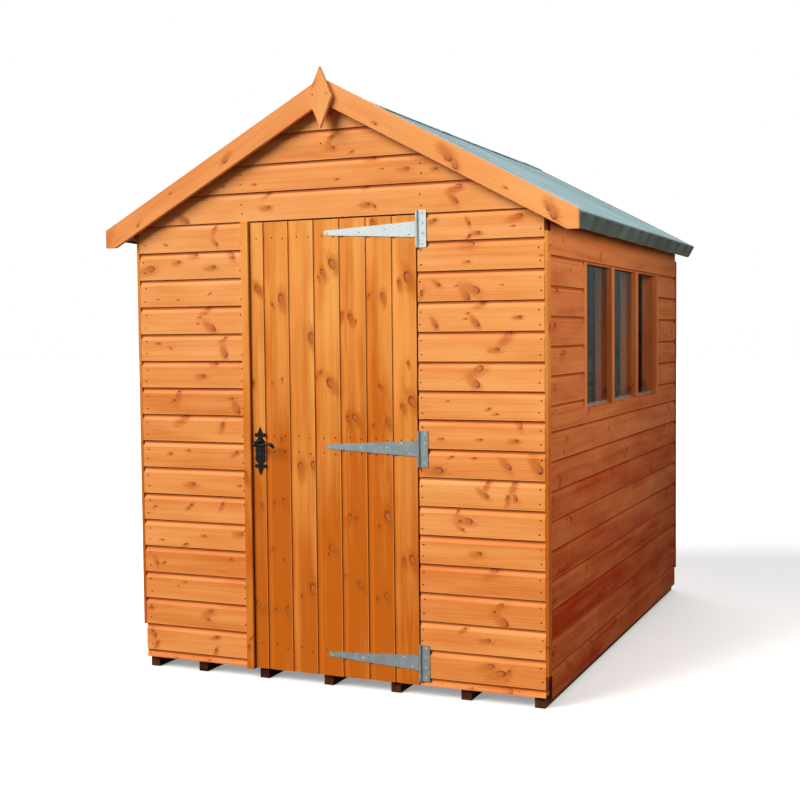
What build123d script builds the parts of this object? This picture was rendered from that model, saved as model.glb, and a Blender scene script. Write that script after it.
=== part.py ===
"""A timber garden shed with a ridged felt roof, a ledged-and-braced door and a three-pane window.

Frame: +Z up, origin at ground level under the middle of the shed, door in the -Y wall and
window in the +X wall. All lengths are in millimetres.
"""

from build123d import *
import os
from math import cos, radians, sin, tan

# ------------------------------------------------------------------ driving dimensions
# Whole shed
wall_width = 1797.0            # between the outer faces of the two side claddings
wall_depth = 2420.0            # between the outer faces of the front and back claddings
eaves_height = 1899.0          # where the outer face of a side wall meets the roof boards
roof_pitch = 28.3              # degrees

# Timber sections
cladding = 12.0
frame_depth = 28.0             # framing, square to the wall
frame_face = 45.0              # framing, across the wall

# Floor
bearer_width = 41.0
bearer_height = 50.0
bearer_inset = 29.5            # outer bearers' middles, inside the side claddings' inner faces
bearer_spacing = 295.0         # set out from the right; the last bay takes what is left
floor_thickness = 12.0
floor_setback = 18.0           # floor and bearer ends, behind the front and back faces

# Walls
front_cladding_bottom = 45.0
side_cladding_bottom = 12.0
rail_middle = 972.0            # height of the middle rails and of the door's lock ledge
trim_width = 38.0
trim_below_eaves = 113.0       # trim tops, under the eaves height
left_front_trim_below_eaves = 29.0
trim_bottom = 126.0
left_front_trim_bottom = 185.0
back_stud_count = 2            # between the corner studs
side_stud_count = 3            # between the end studs

# Doorway and door
door_left = -351.5
door_right = 375.0
door_bottom = 45.0
door_top = 1866.5
door_gap = 5.5                 # leaf to jamb and head
post_width = 32.0
post_proud = 12.0              # in front of the cladding
post_bottom = 40.0
ledge_height = 45.0
lock_ledge_height = 90.0
bottom_ledge_middle = 142.0
top_ledge_middle = 1798.0
ledge_end_clearance = 7.0
brace_width = 80.0

# T-hinges
hinge_heights = (133.0, 968.0, 1812.0)
hinge_metal = 2.5
knuckle_radius = 5.5
pin_radius = 3.0
running_clearance = 0.05
knuckle_gap = 0.5
strap_length = 396.0
strap_root_height = 62.0
strap_tip_height = 18.0
leaf_height = 142.0
leaf_width = 39.0

# Lever handle
handle_from_door_edge = 34.5
lever_height = 973.0
bore_length = 100.0            # longer than anything it passes through
neck_radius = 7.0
spindle_side = 8.0
spindle_hole_radius = 8.0
lever_reach = 89.0
lever_standoff = 45.0
lever_knob_radius = 11.5
lever_seat_gap = 0.3           # lever neck to the face behind it
# Share of the reach, rise above the neck, and half height of the arm's sections
lever_stations = (
    (0.0, 0.0, 8.0),
    (0.3, -4.0, 5.5),
    (0.6, 3.0, 6.0),
    (0.85, -3.0, 9.0),
    (1.0, -8.0, 3.0),
)
inner_plate_width = 45.0
inner_plate_height = 86.0

# Outer handle plate; heights are measured from the lever
plate_thickness = 3.5
plate_half_width = 22.0
plate_tips = (67.0, -129.0)
plate_body = (15.0, -79.0)
plate_corner = 14.0
plate_ear_heights = (34.0, -92.0)
plate_ear_reach = 18.5
plate_ear_radius = 8.0
plate_notch_heights = (-18.0, -46.0)
plate_notch_radius = 8.0
plate_notch_depth = 3.0
spear_half_width = 11.0
spear_root_half_width = 7.0
spear_widest = 5.0             # from the ears towards the tip
spear_overlap = 6.0            # into the plate's body
boss_radius = 17.0
boss_thickness = 6.0
boss_height = 6.0

# Window in the right wall, measured from the front face
window_front = 514.0
window_back = 1949.0
window_bottom = 1097.0
window_top = 1696.0
jamb_width = 40.0
mullion_width = 52.0
window_post_depth = 74.5       # jambs and mullions, from the wall's outer face
pane_count = 3
glass_thickness = 4.0
glass_setback = 19.5
sill_height = 6.0
sill_fall = 3.0
sill_setback = 6.0

# Roof
roof_board = 12.0
felt = 3.0
eaves_overhang = 85.4          # from the side cladding to the eaves edge, level
verge_overhang = 20.0          # roof boards beyond the front and back faces
ridge_rail_start = 30.0        # down the slope from the ridge
ridge_strip_width = 150.0
mitre_gap = 0.5                # sloping pieces, either side of the ridge line

# Front bargeboards, finial and rear verge boards
barge_thickness = 20.0
barge_rise = 11.0              # above the felt, at the ridge
barge_depth = 84.5             # square to its slope
barge_past_eaves = 41.0        # level, past the roof boards' edge
barge_foot_width = 42.0
finial_thickness = 18.0
finial_above = 40.0            # tip, above the bargeboards' apex
finial_upper = 114.0           # tip to widest point
finial_lower = 121.0           # widest point to bottom
finial_width = 103.0
rear_apex_cut = 12.0           # level cut across the rear boards' apex

# ------------------------------------------------------------------ derived places
half_width = wall_width / 2
front_projection = verge_overhang + barge_thickness + finial_thickness
rear_projection = verge_overhang + barge_thickness
front = front_projection - (front_projection + wall_depth + rear_projection) / 2
back = front + wall_depth
panel_half_width = half_width - cladding
frame_front = front + cladding
frame_front_inner = frame_front + frame_depth
frame_back = back - cladding
frame_back_inner = frame_back - frame_depth
side_frame_inner = panel_half_width - frame_depth
floor_top = bearer_height + floor_thickness
rail_top = floor_top + frame_face
slope = tan(radians(roof_pitch))
run = cos(radians(roof_pitch))
rise = sin(radians(roof_pitch))
ridge_underside = eaves_height + half_width * slope
roof_slope_length = (half_width + eaves_overhang - roof_board * rise) / run

post_right = door_left - door_gap
post_left = post_right - post_width
doorway_right = door_right + door_gap
gable_bottom = door_top + door_gap
lock_ledge_bottom = rail_middle - lock_ledge_height / 2
lock_ledge_top = rail_middle + lock_ledge_height / 2
hinge_axis_x = doorway_right
hinge_axis_y = front - knuckle_radius
handle_x = door_left + handle_from_door_edge


# ------------------------------------------------------------------ helpers
def block(x0, x1, y0, y1, z0, z1):
    """A rectangular solid between two corners."""
    return Pos(x0, y0, z0) * Box(x1 - x0, y1 - y0, z1 - z0, align=(Align.MIN, Align.MIN, Align.MIN))


def outline_block(points, y0, y1):
    """An outline drawn in X and Z, carried from y0 to y1."""
    outline = make_face(Polyline(*points, close=True))
    return extrude(Plane.XZ.offset(-y1) * outline, amount=y1 - y0)


def roof_underside(x):
    """Height of the underside of the roof boards at a given X."""
    return ridge_underside - abs(x) * slope


def on_slope(along, above):
    """A point `along` down the right slope and `above` square to the roof underside."""
    return (along * run + above * rise, ridge_underside - along * rise + above * run)


def at_ridge(above):
    """The point of a layer on the ridge line, where both slopes are mitred."""
    return (0, ridge_underside + above / run)


def mirrored(points, side):
    """An outline on the right (side 1) or left (side -1) half."""
    return [(side * x, z) for x, z in points]


def slope_rail(along, side, y0, y1, depth=frame_face, width=frame_depth):
    """A rail under the roof boards, running front to back."""
    corners = (
        on_slope(along, 0),
        on_slope(along + width, 0),
        on_slope(along + width, -depth),
        on_slope(along, -depth),
    )
    return outline_block(mirrored(corners, side), y0, y1)


def gable_stud(x0, x1, y0, y1, z0):
    """An upright whose top is cut to the underside of the gable rafter."""
    rafter_depth = frame_face / run
    top0 = roof_underside(x0) - rafter_depth
    top1 = roof_underside(x1) - rafter_depth
    return outline_block([(x0, z0), (x1, z0), (x1, top1), (x0, top0)], y0, y1)


def save(name, solids):
    """Write one named piece, of one solid or of several that don't touch."""
    solids = list(solids)
    piece = solids[0] if len(solids) == 1 else Compound(children=solids)
    export_step(piece, f"parts/{name}.step")


# ------------------------------------------------------------------ floor
def bearer_middles():
    """Set out from the right-hand bearer at an even spacing, and one at the left edge."""
    right = panel_half_width - bearer_inset
    left = -right
    middle = right
    while middle > left + 2 * bearer_width:
        yield middle
        middle -= bearer_spacing
    yield left


def floor_bearers():
    for middle in bearer_middles():
        x0 = middle - bearer_width / 2
        yield block(x0, x0 + bearer_width, front + floor_setback, back - floor_setback, 0, bearer_height)


def floor_boards():
    yield block(
        -panel_half_width,
        panel_half_width,
        front + floor_setback,
        back - floor_setback,
        bearer_height,
        floor_top,
    )


# ------------------------------------------------------------------ cladding
def front_wall(side):
    """The cladding on one side of the doorway, up to the head of the door."""
    x0, x1 = (-panel_half_width, post_left) if side < 0 else (doorway_right, panel_half_width)
    yield block(x0, x1, front, frame_front, front_cladding_bottom, gable_bottom)


def front_gable():
    eaves = roof_underside(panel_half_width)
    outline = (
        (-panel_half_width, gable_bottom),
        (panel_half_width, gable_bottom),
        (panel_half_width, eaves),
        (0, ridge_underside),
        (-panel_half_width, eaves),
    )
    yield outline_block(outline, front, frame_front)


def door_post():
    """The jamb on the latch side of the door, proud of the cladding."""
    yield block(post_left, post_right, front - post_proud, frame_front, post_bottom, gable_bottom)


def back_wall():
    eaves = roof_underside(panel_half_width)
    outline = (
        (-panel_half_width, front_cladding_bottom),
        (panel_half_width, front_cladding_bottom),
        (panel_half_width, eaves),
        (0, ridge_underside),
        (-panel_half_width, eaves),
    )
    yield outline_block(outline, frame_back, back)


def side_cladding(side, y0, y1, z0, z1=None):
    """Side cladding; with no top height it is bevelled to the roof underside."""
    top_inner = roof_underside(panel_half_width) if z1 is None else z1
    top_outer = roof_underside(half_width) if z1 is None else z1
    outline = (
        (panel_half_width, z0),
        (half_width, z0),
        (half_width, top_outer),
        (panel_half_width, top_inner),
    )
    return outline_block(mirrored(outline, side), y0, y1)


side_front = front + trim_width
side_back = back - trim_width


def left_wall():
    yield side_cladding(-1, side_front, side_back, side_cladding_bottom)


def right_wall_lower():
    yield side_cladding(1, side_front, side_back, side_cladding_bottom, window_bottom)


def right_wall_top():
    yield side_cladding(1, side_front, side_back, window_top)


def right_wall_front():
    yield side_cladding(1, side_front, front + window_front, window_bottom, window_top)


def right_wall_back():
    yield side_cladding(1, front + window_back, side_back, window_bottom, window_top)


def corner_trims():
    for side in (-1, 1):
        x0, x1 = sorted((side * panel_half_width, side * half_width))
        bottom = left_front_trim_bottom if side < 0 else trim_bottom
        top = eaves_height - (left_front_trim_below_eaves if side < 0 else trim_below_eaves)
        yield block(x0, x1, front, front + trim_width, bottom, top)
        yield block(x0, x1, back - trim_width, back, trim_bottom, eaves_height - trim_below_eaves)


# ------------------------------------------------------------------ wall framing
def rails(spans, y0, y1, z0):
    for x0, x1 in spans:
        yield block(x0, x1, y0, y1, z0, z0 + frame_face)


def front_studs():
    """Two corner studs and the two door studs."""
    faces = (
        -panel_half_width,
        post_right - frame_face,
        doorway_right,
        panel_half_width - frame_face,
    )
    for x0 in faces:
        yield gable_stud(x0, x0 + frame_face, frame_front, frame_front_inner, rail_top)


def front_rails():
    """Sole rails, middle rails beside the doorway and the head rail over it."""
    sole = ((-panel_half_width, post_right), (doorway_right, panel_half_width))
    yield from rails(sole, frame_front, frame_front_inner, floor_top)
    inner = panel_half_width - frame_face
    middle = ((-inner, post_right - frame_face), (doorway_right + frame_face, inner))
    yield from rails(middle, frame_front, frame_front_inner, rail_middle - frame_face / 2)
    yield from rails(((post_right, doorway_right),), frame_front, frame_front_inner, gable_bottom)


def stud_faces(start, end, count):
    """Where each stud begins, with `count` of them evenly between the two end studs."""
    pitch = (end - frame_face - start) / (count + 1)
    return [start + index * pitch for index in range(count + 2)]


def back_stud_faces():
    return stud_faces(-panel_half_width, panel_half_width, back_stud_count)


def side_stud_faces():
    return stud_faces(frame_front_inner, frame_back_inner, side_stud_count)


def back_studs():
    for x0 in back_stud_faces():
        yield gable_stud(x0, x0 + frame_face, frame_back_inner, frame_back, rail_top)


def back_rails():
    """The sole rail and the middle rails between the studs."""
    whole = ((-panel_half_width, panel_half_width),)
    yield from rails(whole, frame_back_inner, frame_back, floor_top)
    faces = back_stud_faces()
    spans = [(a + frame_face, b) for a, b in zip(faces, faces[1:])]
    yield from rails(spans, frame_back_inner, frame_back, rail_middle - frame_face / 2)


def gable_rafters():
    """Sloping top rails of the front and back panels, mitred just short of the ridge line."""
    depth = frame_face / run
    for y0, y1 in ((frame_front, frame_front_inner), (frame_back_inner, frame_back)):
        for side in (-1, 1):
            outline = (
                (mitre_gap, roof_underside(mitre_gap)),
                (panel_half_width, roof_underside(panel_half_width)),
                (panel_half_width, roof_underside(panel_half_width) - depth),
                (mitre_gap, roof_underside(mitre_gap) - depth),
            )
            yield outline_block(mirrored(outline, side), y0, y1)


def side_block(side, y0, y1, z0, z1):
    """A rectangular framing piece against the inside of a side cladding."""
    x0, x1 = sorted((side * side_frame_inner, side * panel_half_width))
    return block(x0, x1, y0, y1, z0, z1)


top_rail_bottom = roof_underside(panel_half_width) - frame_face


def side_top_rail(side):
    outline = (
        (side_frame_inner, top_rail_bottom),
        (panel_half_width, top_rail_bottom),
        (panel_half_width, roof_underside(panel_half_width)),
        (side_frame_inner, roof_underside(side_frame_inner)),
    )
    return outline_block(mirrored(outline, side), frame_front_inner, frame_back_inner)


def left_studs():
    for y0 in side_stud_faces():
        yield side_block(-1, y0, y0 + frame_face, rail_top, top_rail_bottom)


def left_rails():
    """Sole rail, top rail and middle rails between the studs."""
    yield side_block(-1, frame_front_inner, frame_back_inner, floor_top, rail_top)
    yield side_top_rail(-1)
    faces = side_stud_faces()
    z0 = rail_middle - frame_face / 2
    for a, b in zip(faces, faces[1:]):
        yield side_block(-1, a + frame_face, b, z0, z0 + frame_face)


def right_studs():
    """End studs for the full height, and shorter studs below the window."""
    sill_rail_bottom = window_bottom - frame_face
    faces = side_stud_faces()
    for y0 in (faces[0], faces[-1]):
        yield side_block(1, y0, y0 + frame_face, rail_top, top_rail_bottom)
    for y0 in faces[1:-1]:
        yield side_block(1, y0, y0 + frame_face, rail_top, sill_rail_bottom)


def right_rails():
    """Sole rail, top rail, and the rails under and over the window."""
    yield side_block(1, frame_front_inner, frame_back_inner, floor_top, rail_top)
    yield side_top_rail(1)
    y0 = frame_front_inner + frame_face
    y1 = frame_back_inner - frame_face
    yield side_block(1, y0, y1, window_bottom - frame_face, window_bottom)
    yield side_block(1, y0, y1, window_top, window_top + frame_face)


# ------------------------------------------------------------------ window
def window_post_spans():
    """The Y span of each jamb and mullion."""
    y = front + window_front
    widths = [jamb_width] + [mullion_width] * (pane_count - 1) + [jamb_width]
    pane = (window_back - window_front - sum(widths)) / pane_count
    spans = []
    for width in widths:
        spans.append((y, y + width))
        y += width + pane
    return spans


def pane_spans():
    spans = window_post_spans()
    return [(a[1], b[0]) for a, b in zip(spans, spans[1:])]


def window_posts():
    for y0, y1 in window_post_spans():
        yield block(half_width - window_post_depth, half_width, y0, y1, window_bottom, window_top)


def window_sills():
    """Weathered sill and head pieces between the posts."""
    outer = half_width - sill_setback
    for y0, y1 in pane_spans():
        outline = (
            (side_frame_inner, window_bottom),
            (outer, window_bottom),
            (outer, window_bottom + sill_height - sill_fall),
            (half_width - glass_setback, window_bottom + sill_height),
            (side_frame_inner, window_bottom + sill_height),
        )
        yield outline_block(outline, y0, y1)
        yield block(side_frame_inner, outer, y0, y1, window_top - sill_height, window_top)


def window_glass():
    outer = half_width - glass_setback
    for y0, y1 in pane_spans():
        yield block(
            outer - glass_thickness,
            outer,
            y0,
            y1,
            window_bottom + sill_height,
            window_top - sill_height,
        )


# ------------------------------------------------------------------ roof
roof_front = front - verge_overhang
roof_back = back + verge_overhang


def roof_boards(side):
    outline = (
        at_ridge(0),
        at_ridge(roof_board),
        on_slope(roof_slope_length, roof_board),
        on_slope(roof_slope_length, 0),
    )
    yield outline_block(mirrored(outline, side), roof_front, roof_back)


def roof_rails():
    """Eaves rails the full length; ridge rails and purlins between the gable panels."""
    middle = (roof_slope_length - frame_depth) / 2
    for side in (-1, 1):
        yield slope_rail(roof_slope_length - frame_depth, side, roof_front, roof_back)
        yield slope_rail(middle, side, frame_front_inner, frame_back_inner)
        yield slope_rail(ridge_rail_start, side, frame_front_inner, frame_back_inner)


def roof_felt(side):
    """A felt sheet over one slope, turned down over the eaves edge."""
    top = roof_board + felt
    outline = (
        at_ridge(roof_board),
        at_ridge(top),
        on_slope(roof_slope_length + felt, top),
        on_slope(roof_slope_length + felt, -frame_face),
        on_slope(roof_slope_length, -frame_face),
        on_slope(roof_slope_length, roof_board),
    )
    yield outline_block(mirrored(outline, side), roof_front, roof_back)


def ridge_strip():
    """The felt strip that caps the ridge."""
    low = roof_board + felt
    right = [on_slope(ridge_strip_width, low), on_slope(ridge_strip_width, low + felt)]
    outline = [at_ridge(low), *right, at_ridge(low + felt), *reversed(mirrored(right, -1))]
    yield outline_block(outline, roof_front, roof_back)


# ------------------------------------------------------------------ verges
barge_apex = ridge_underside + (roof_board + felt) / run + barge_rise


def bargeboard(side):
    """A deep front board with a plumb-cut end and a level foot."""
    end = half_width + eaves_overhang + barge_past_eaves
    foot_inner = end - barge_foot_width
    lower_apex = barge_apex - barge_depth / run
    foot = lower_apex - foot_inner * slope
    outline = (
        (0, barge_apex),
        (end, barge_apex - end * slope),
        (end, foot),
        (foot_inner, foot),
        (0, lower_apex),
    )
    yield outline_block(mirrored(outline, side), roof_front - barge_thickness, roof_front)


def rear_verge_boards():
    """Plain boards across the back of the roof, as deep as the eaves edge."""
    top = roof_board + felt
    apex = ridge_underside + top / run
    outline = (
        (mitre_gap, roof_underside(mitre_gap) - frame_face / run),
        (mitre_gap, apex - rear_apex_cut),
        (rear_apex_cut / slope, apex - rear_apex_cut),
        on_slope(roof_slope_length + felt, top),
        on_slope(roof_slope_length + felt, -frame_face),
    )
    for side in (-1, 1):
        yield outline_block(mirrored(outline, side), roof_back, roof_back + barge_thickness)


def finial():
    """The pointed lozenge that covers the joint of the bargeboards."""
    tip = barge_apex + finial_above
    widest = tip - finial_upper
    outline = (
        (0, tip),
        (finial_width / 2, widest),
        (0, widest - finial_lower),
        (-finial_width / 2, widest),
    )
    face = roof_front - barge_thickness
    yield outline_block(outline, face - finial_thickness, face)


# ------------------------------------------------------------------ door leaf
def door_leaf():
    leaf = block(door_left, door_right, front, frame_front, door_bottom, door_top)
    yield leaf - bore_through(front, spindle_hole_radius)


ledge_left = door_left + ledge_end_clearance
ledge_bottom = bottom_ledge_middle - ledge_height / 2
ledge_top = top_ledge_middle + ledge_height / 2


def door_ledges():
    """Three ledges across the back of the boards; the wide middle one carries the handle."""
    levels = (
        (ledge_bottom, ledge_bottom + ledge_height),
        (lock_ledge_bottom, lock_ledge_top),
        (ledge_top - ledge_height, ledge_top),
    )
    for z0, z1 in levels:
        ledge = block(ledge_left, door_right, frame_front, frame_front_inner, z0, z1)
        yield ledge - bore_through(front, spindle_hole_radius)


def door_braces():
    """Two braces, each rising from the hinge side to the handle side."""
    spans = (
        (ledge_bottom + ledge_height, lock_ledge_bottom),
        (lock_ledge_top, ledge_top - ledge_height),
    )
    for z0, z1 in spans:
        outline = (
            (door_right - brace_width, z0),
            (door_right, z0),
            (ledge_left + brace_width, z1),
            (ledge_left, z1),
        )
        yield outline_block(outline, frame_front, frame_front_inner)


# ------------------------------------------------------------------ T-hinges
def upright(radius, z0, z1):
    """A cylinder on the hinge line."""
    centre = Pos(hinge_axis_x, hinge_axis_y, z0)
    return centre * Cylinder(radius, z1 - z0, align=(Align.CENTER, Align.CENTER, Align.MIN))


def hinge_straps():
    """Tapered straps, each rolled into one knuckle on the hinge line."""
    for height in hinge_heights:
        root = strap_root_height / 2
        tip = strap_tip_height / 2
        outline = (
            (hinge_axis_x, height - root),
            (hinge_axis_x, height + root),
            (hinge_axis_x - strap_length, height + tip),
            (hinge_axis_x - strap_length, height - tip),
        )
        strap = outline_block(outline, front - hinge_metal, front)
        strap += upright(knuckle_radius, height - root, height + root)
        yield strap - upright(pin_radius + running_clearance, height - root, height + root)


def hinge_leaves():
    """Fixed leaves with two knuckles each, cut out round the strap's knuckle."""
    for height in hinge_heights:
        low = height - leaf_height / 2
        high = height + leaf_height / 2
        cut = strap_root_height / 2 + knuckle_gap
        leaf = block(hinge_axis_x, hinge_axis_x + leaf_width, front - hinge_metal, front, low, high)
        leaf += upright(knuckle_radius, low, height - cut)
        leaf += upright(knuckle_radius, height + cut, high)
        clear = hinge_axis_x + knuckle_radius + knuckle_gap
        leaf -= block(
            hinge_axis_x - knuckle_radius,
            clear,
            front - 2 * knuckle_radius,
            front,
            height - cut,
            height + cut,
        )
        yield leaf - upright(pin_radius, low, high)


def hinge_pins():
    for height in hinge_heights:
        yield upright(pin_radius, height - leaf_height / 2, height + leaf_height / 2)


# ------------------------------------------------------------------ lever handle
def bore_through(y, radius):
    """A cylinder along Y through the lever's centre, to cut a hole with."""
    return Pos(handle_x, y, lever_height) * Rot(90, 0, 0) * Cylinder(radius, bore_length)


def plate_outline():
    """The body with waist notches, and a pair of ears and a spear at each end."""
    body_top, body_bottom = (lever_height + height for height in plate_body)
    body = RectangleRounded(2 * plate_half_width, body_top - body_bottom, plate_corner)
    outline = Pos(handle_x, (body_top + body_bottom) / 2) * body
    notch_reach = plate_half_width + plate_notch_radius - plate_notch_depth
    for side in (-1, 1):
        for height in plate_notch_heights:
            outline -= Pos(handle_x + side * notch_reach, lever_height + height) * Circle(plate_notch_radius)
    for end in (0, 1):
        towards_tip = 1 - 2 * end
        tip = lever_height + plate_tips[end]
        ears = lever_height + plate_ear_heights[end]
        widest = ears + towards_tip * spear_widest
        root = lever_height + plate_body[end] - towards_tip * spear_overlap
        spear_points = (
            (handle_x, tip),
            (handle_x + spear_half_width, widest),
            (handle_x + spear_root_half_width, root),
            (handle_x - spear_root_half_width, root),
            (handle_x - spear_half_width, widest),
        )
        outline += make_face(Polyline(*spear_points, close=True))
        outline += Pos(handle_x, ears) * Rectangle(2 * plate_ear_reach, plate_ear_radius)
        for side in (-1, 1):
            outline += Pos(handle_x + side * plate_ear_reach, ears) * Circle(plate_ear_radius)
    return outline


def outer_handle_plate():
    plate = extrude(Plane.XZ.offset(-front) * plate_outline(), amount=plate_thickness)
    boss = Pos(handle_x, front - plate_thickness, lever_height + boss_height) * Rot(90, 0, 0)
    plate += boss * Cylinder(boss_radius, boss_thickness, align=(Align.CENTER, Align.CENTER, Align.MIN))
    return plate - bore_through(front, neck_radius + running_clearance)


def inner_handle_plate():
    x0 = handle_x - inner_plate_width / 2
    z0 = rail_middle - inner_plate_height / 2
    plate = block(
        x0,
        x0 + inner_plate_width,
        frame_front_inner,
        frame_front_inner + plate_thickness,
        z0,
        z0 + inner_plate_height,
    )
    return plate - bore_through(frame_front_inner, neck_radius + running_clearance)


def handle_plates():
    yield outer_handle_plate()
    yield inner_handle_plate()


def lever(face, outward):
    """A lever standing off from `face`; outward is -1 towards the front and 1 towards the room."""
    arm_y = face + outward * lever_standoff
    y0, y1 = sorted((face + outward * lever_seat_gap, arm_y))
    sections = []
    for share, lift, radius in lever_stations:
        centre = (handle_x + share * lever_reach, arm_y, lever_height + lift)
        sections.append(Plane(origin=centre, z_dir=(1, 0, 0)) * Circle(radius))
    arm = loft(sections, ruled=True)
    knob = Pos(handle_x, arm_y, lever_height) * Sphere(lever_knob_radius)
    neck = Pos(handle_x, y1, lever_height) * Rot(90, 0, 0)
    neck *= Cylinder(neck_radius, y1 - y0, align=(Align.CENTER, Align.CENTER, Align.MIN))
    return knob + arm + neck


def outer_lever():
    yield lever(front, -1)


def inner_lever():
    yield lever(frame_front_inner, 1)


def lever_spindle():
    half_side = spindle_side / 2
    yield block(
        handle_x - half_side,
        handle_x + half_side,
        front - lever_seat_gap,
        frame_front_inner + lever_seat_gap,
        lever_height - half_side,
        lever_height + half_side,
    )


# ------------------------------------------------------------------ the assembly
pieces = {
    "floor_bearers": floor_bearers(),
    "floor_boards": floor_boards(),
    "front_wall_left": front_wall(-1),
    "front_wall_right": front_wall(1),
    "front_gable": front_gable(),
    "door_post": door_post(),
    "back_wall": back_wall(),
    "left_wall": left_wall(),
    "right_wall_lower": right_wall_lower(),
    "right_wall_front": right_wall_front(),
    "right_wall_back": right_wall_back(),
    "right_wall_top": right_wall_top(),
    "corner_trims": corner_trims(),
    "front_studs": front_studs(),
    "front_rails": front_rails(),
    "back_studs": back_studs(),
    "back_rails": back_rails(),
    "left_studs": left_studs(),
    "left_rails": left_rails(),
    "right_studs": right_studs(),
    "right_rails": right_rails(),
    "gable_rafters": gable_rafters(),
    "window_posts": window_posts(),
    "window_sills": window_sills(),
    "window_glass": window_glass(),
    "roof_boards_left": roof_boards(-1),
    "roof_boards_right": roof_boards(1),
    "roof_rails": roof_rails(),
    "roof_felt_left": roof_felt(-1),
    "roof_felt_right": roof_felt(1),
    "ridge_strip": ridge_strip(),
    "bargeboard_left": bargeboard(-1),
    "bargeboard_right": bargeboard(1),
    "rear_verge_boards": rear_verge_boards(),
    "finial": finial(),
    "hinge_leaves": hinge_leaves(),
    "hinge_pins": hinge_pins(),
    "door_leaf": door_leaf(),
    "door_ledges": door_ledges(),
    "door_braces": door_braces(),
    "hinge_straps": hinge_straps(),
    "handle_plates": handle_plates(),
    "outer_lever": outer_lever(),
    "inner_lever": inner_lever(),
    "lever_spindle": lever_spindle(),
}

os.makedirs("parts", exist_ok=True)
for name, solids in pieces.items():
    save(name, solids)
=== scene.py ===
"""A timber garden shed, finished as a joiner would finish it: shiplap boards on a nailed frame, a
felted roof, zinc T-hinges and a black iron lever. Lengths are in metres unless a name ends in _mm."""

import math
import random

import bmesh
import bpy
import numpy as np
from mathutils import Matrix, Vector, noise


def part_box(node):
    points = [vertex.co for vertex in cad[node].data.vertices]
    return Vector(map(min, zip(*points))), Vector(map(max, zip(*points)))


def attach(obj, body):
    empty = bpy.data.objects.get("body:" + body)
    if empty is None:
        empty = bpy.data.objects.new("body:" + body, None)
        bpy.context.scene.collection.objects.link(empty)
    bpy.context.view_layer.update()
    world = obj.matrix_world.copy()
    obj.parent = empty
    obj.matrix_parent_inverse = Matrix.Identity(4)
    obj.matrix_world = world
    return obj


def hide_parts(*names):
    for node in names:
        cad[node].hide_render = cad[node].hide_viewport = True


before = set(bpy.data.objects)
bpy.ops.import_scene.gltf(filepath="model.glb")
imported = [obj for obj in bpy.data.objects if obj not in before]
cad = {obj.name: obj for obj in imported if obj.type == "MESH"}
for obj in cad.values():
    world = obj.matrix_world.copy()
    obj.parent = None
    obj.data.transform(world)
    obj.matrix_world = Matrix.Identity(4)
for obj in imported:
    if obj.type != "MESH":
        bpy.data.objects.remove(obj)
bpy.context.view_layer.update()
MM = 0.001
UP = Vector((0, 0, 1))
RIGHT = Vector((1, 0, 0))
BACKWARD = Vector((0, 1, 0))


# ---------------------------------------------------------------- colours and finishes
def paint(red, green, blue):
    """A colour as a painter's chart gives it, 0 to 255, turned into light."""
    light = []
    for part in (red, green, blue):
        part = part / 255
        light.append(part / 12.92 if part <= 0.04045 else ((part + 0.055) / 1.055) ** 2.4)
    return (*light, 1.0)


class Wire:
    """A value, colour or vector on its way through a finish."""

    def __init__(self, finish, socket):
        self.finish = finish
        self.socket = socket

    def maths(self, operation, *others):
        return self.finish.node("ShaderNodeMath", {"operation": operation}, (self, *others))

    def __add__(self, other):
        return self.maths("ADD", other)

    def __sub__(self, other):
        return self.maths("SUBTRACT", other)

    def __rsub__(self, other):
        return self.finish.node("ShaderNodeMath", {"operation": "SUBTRACT"}, (other, self))

    def __mul__(self, other):
        return self.maths("MULTIPLY", other)

    def __truediv__(self, other):
        return self.maths("DIVIDE", other)

    __radd__ = __add__
    __rmul__ = __mul__


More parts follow.
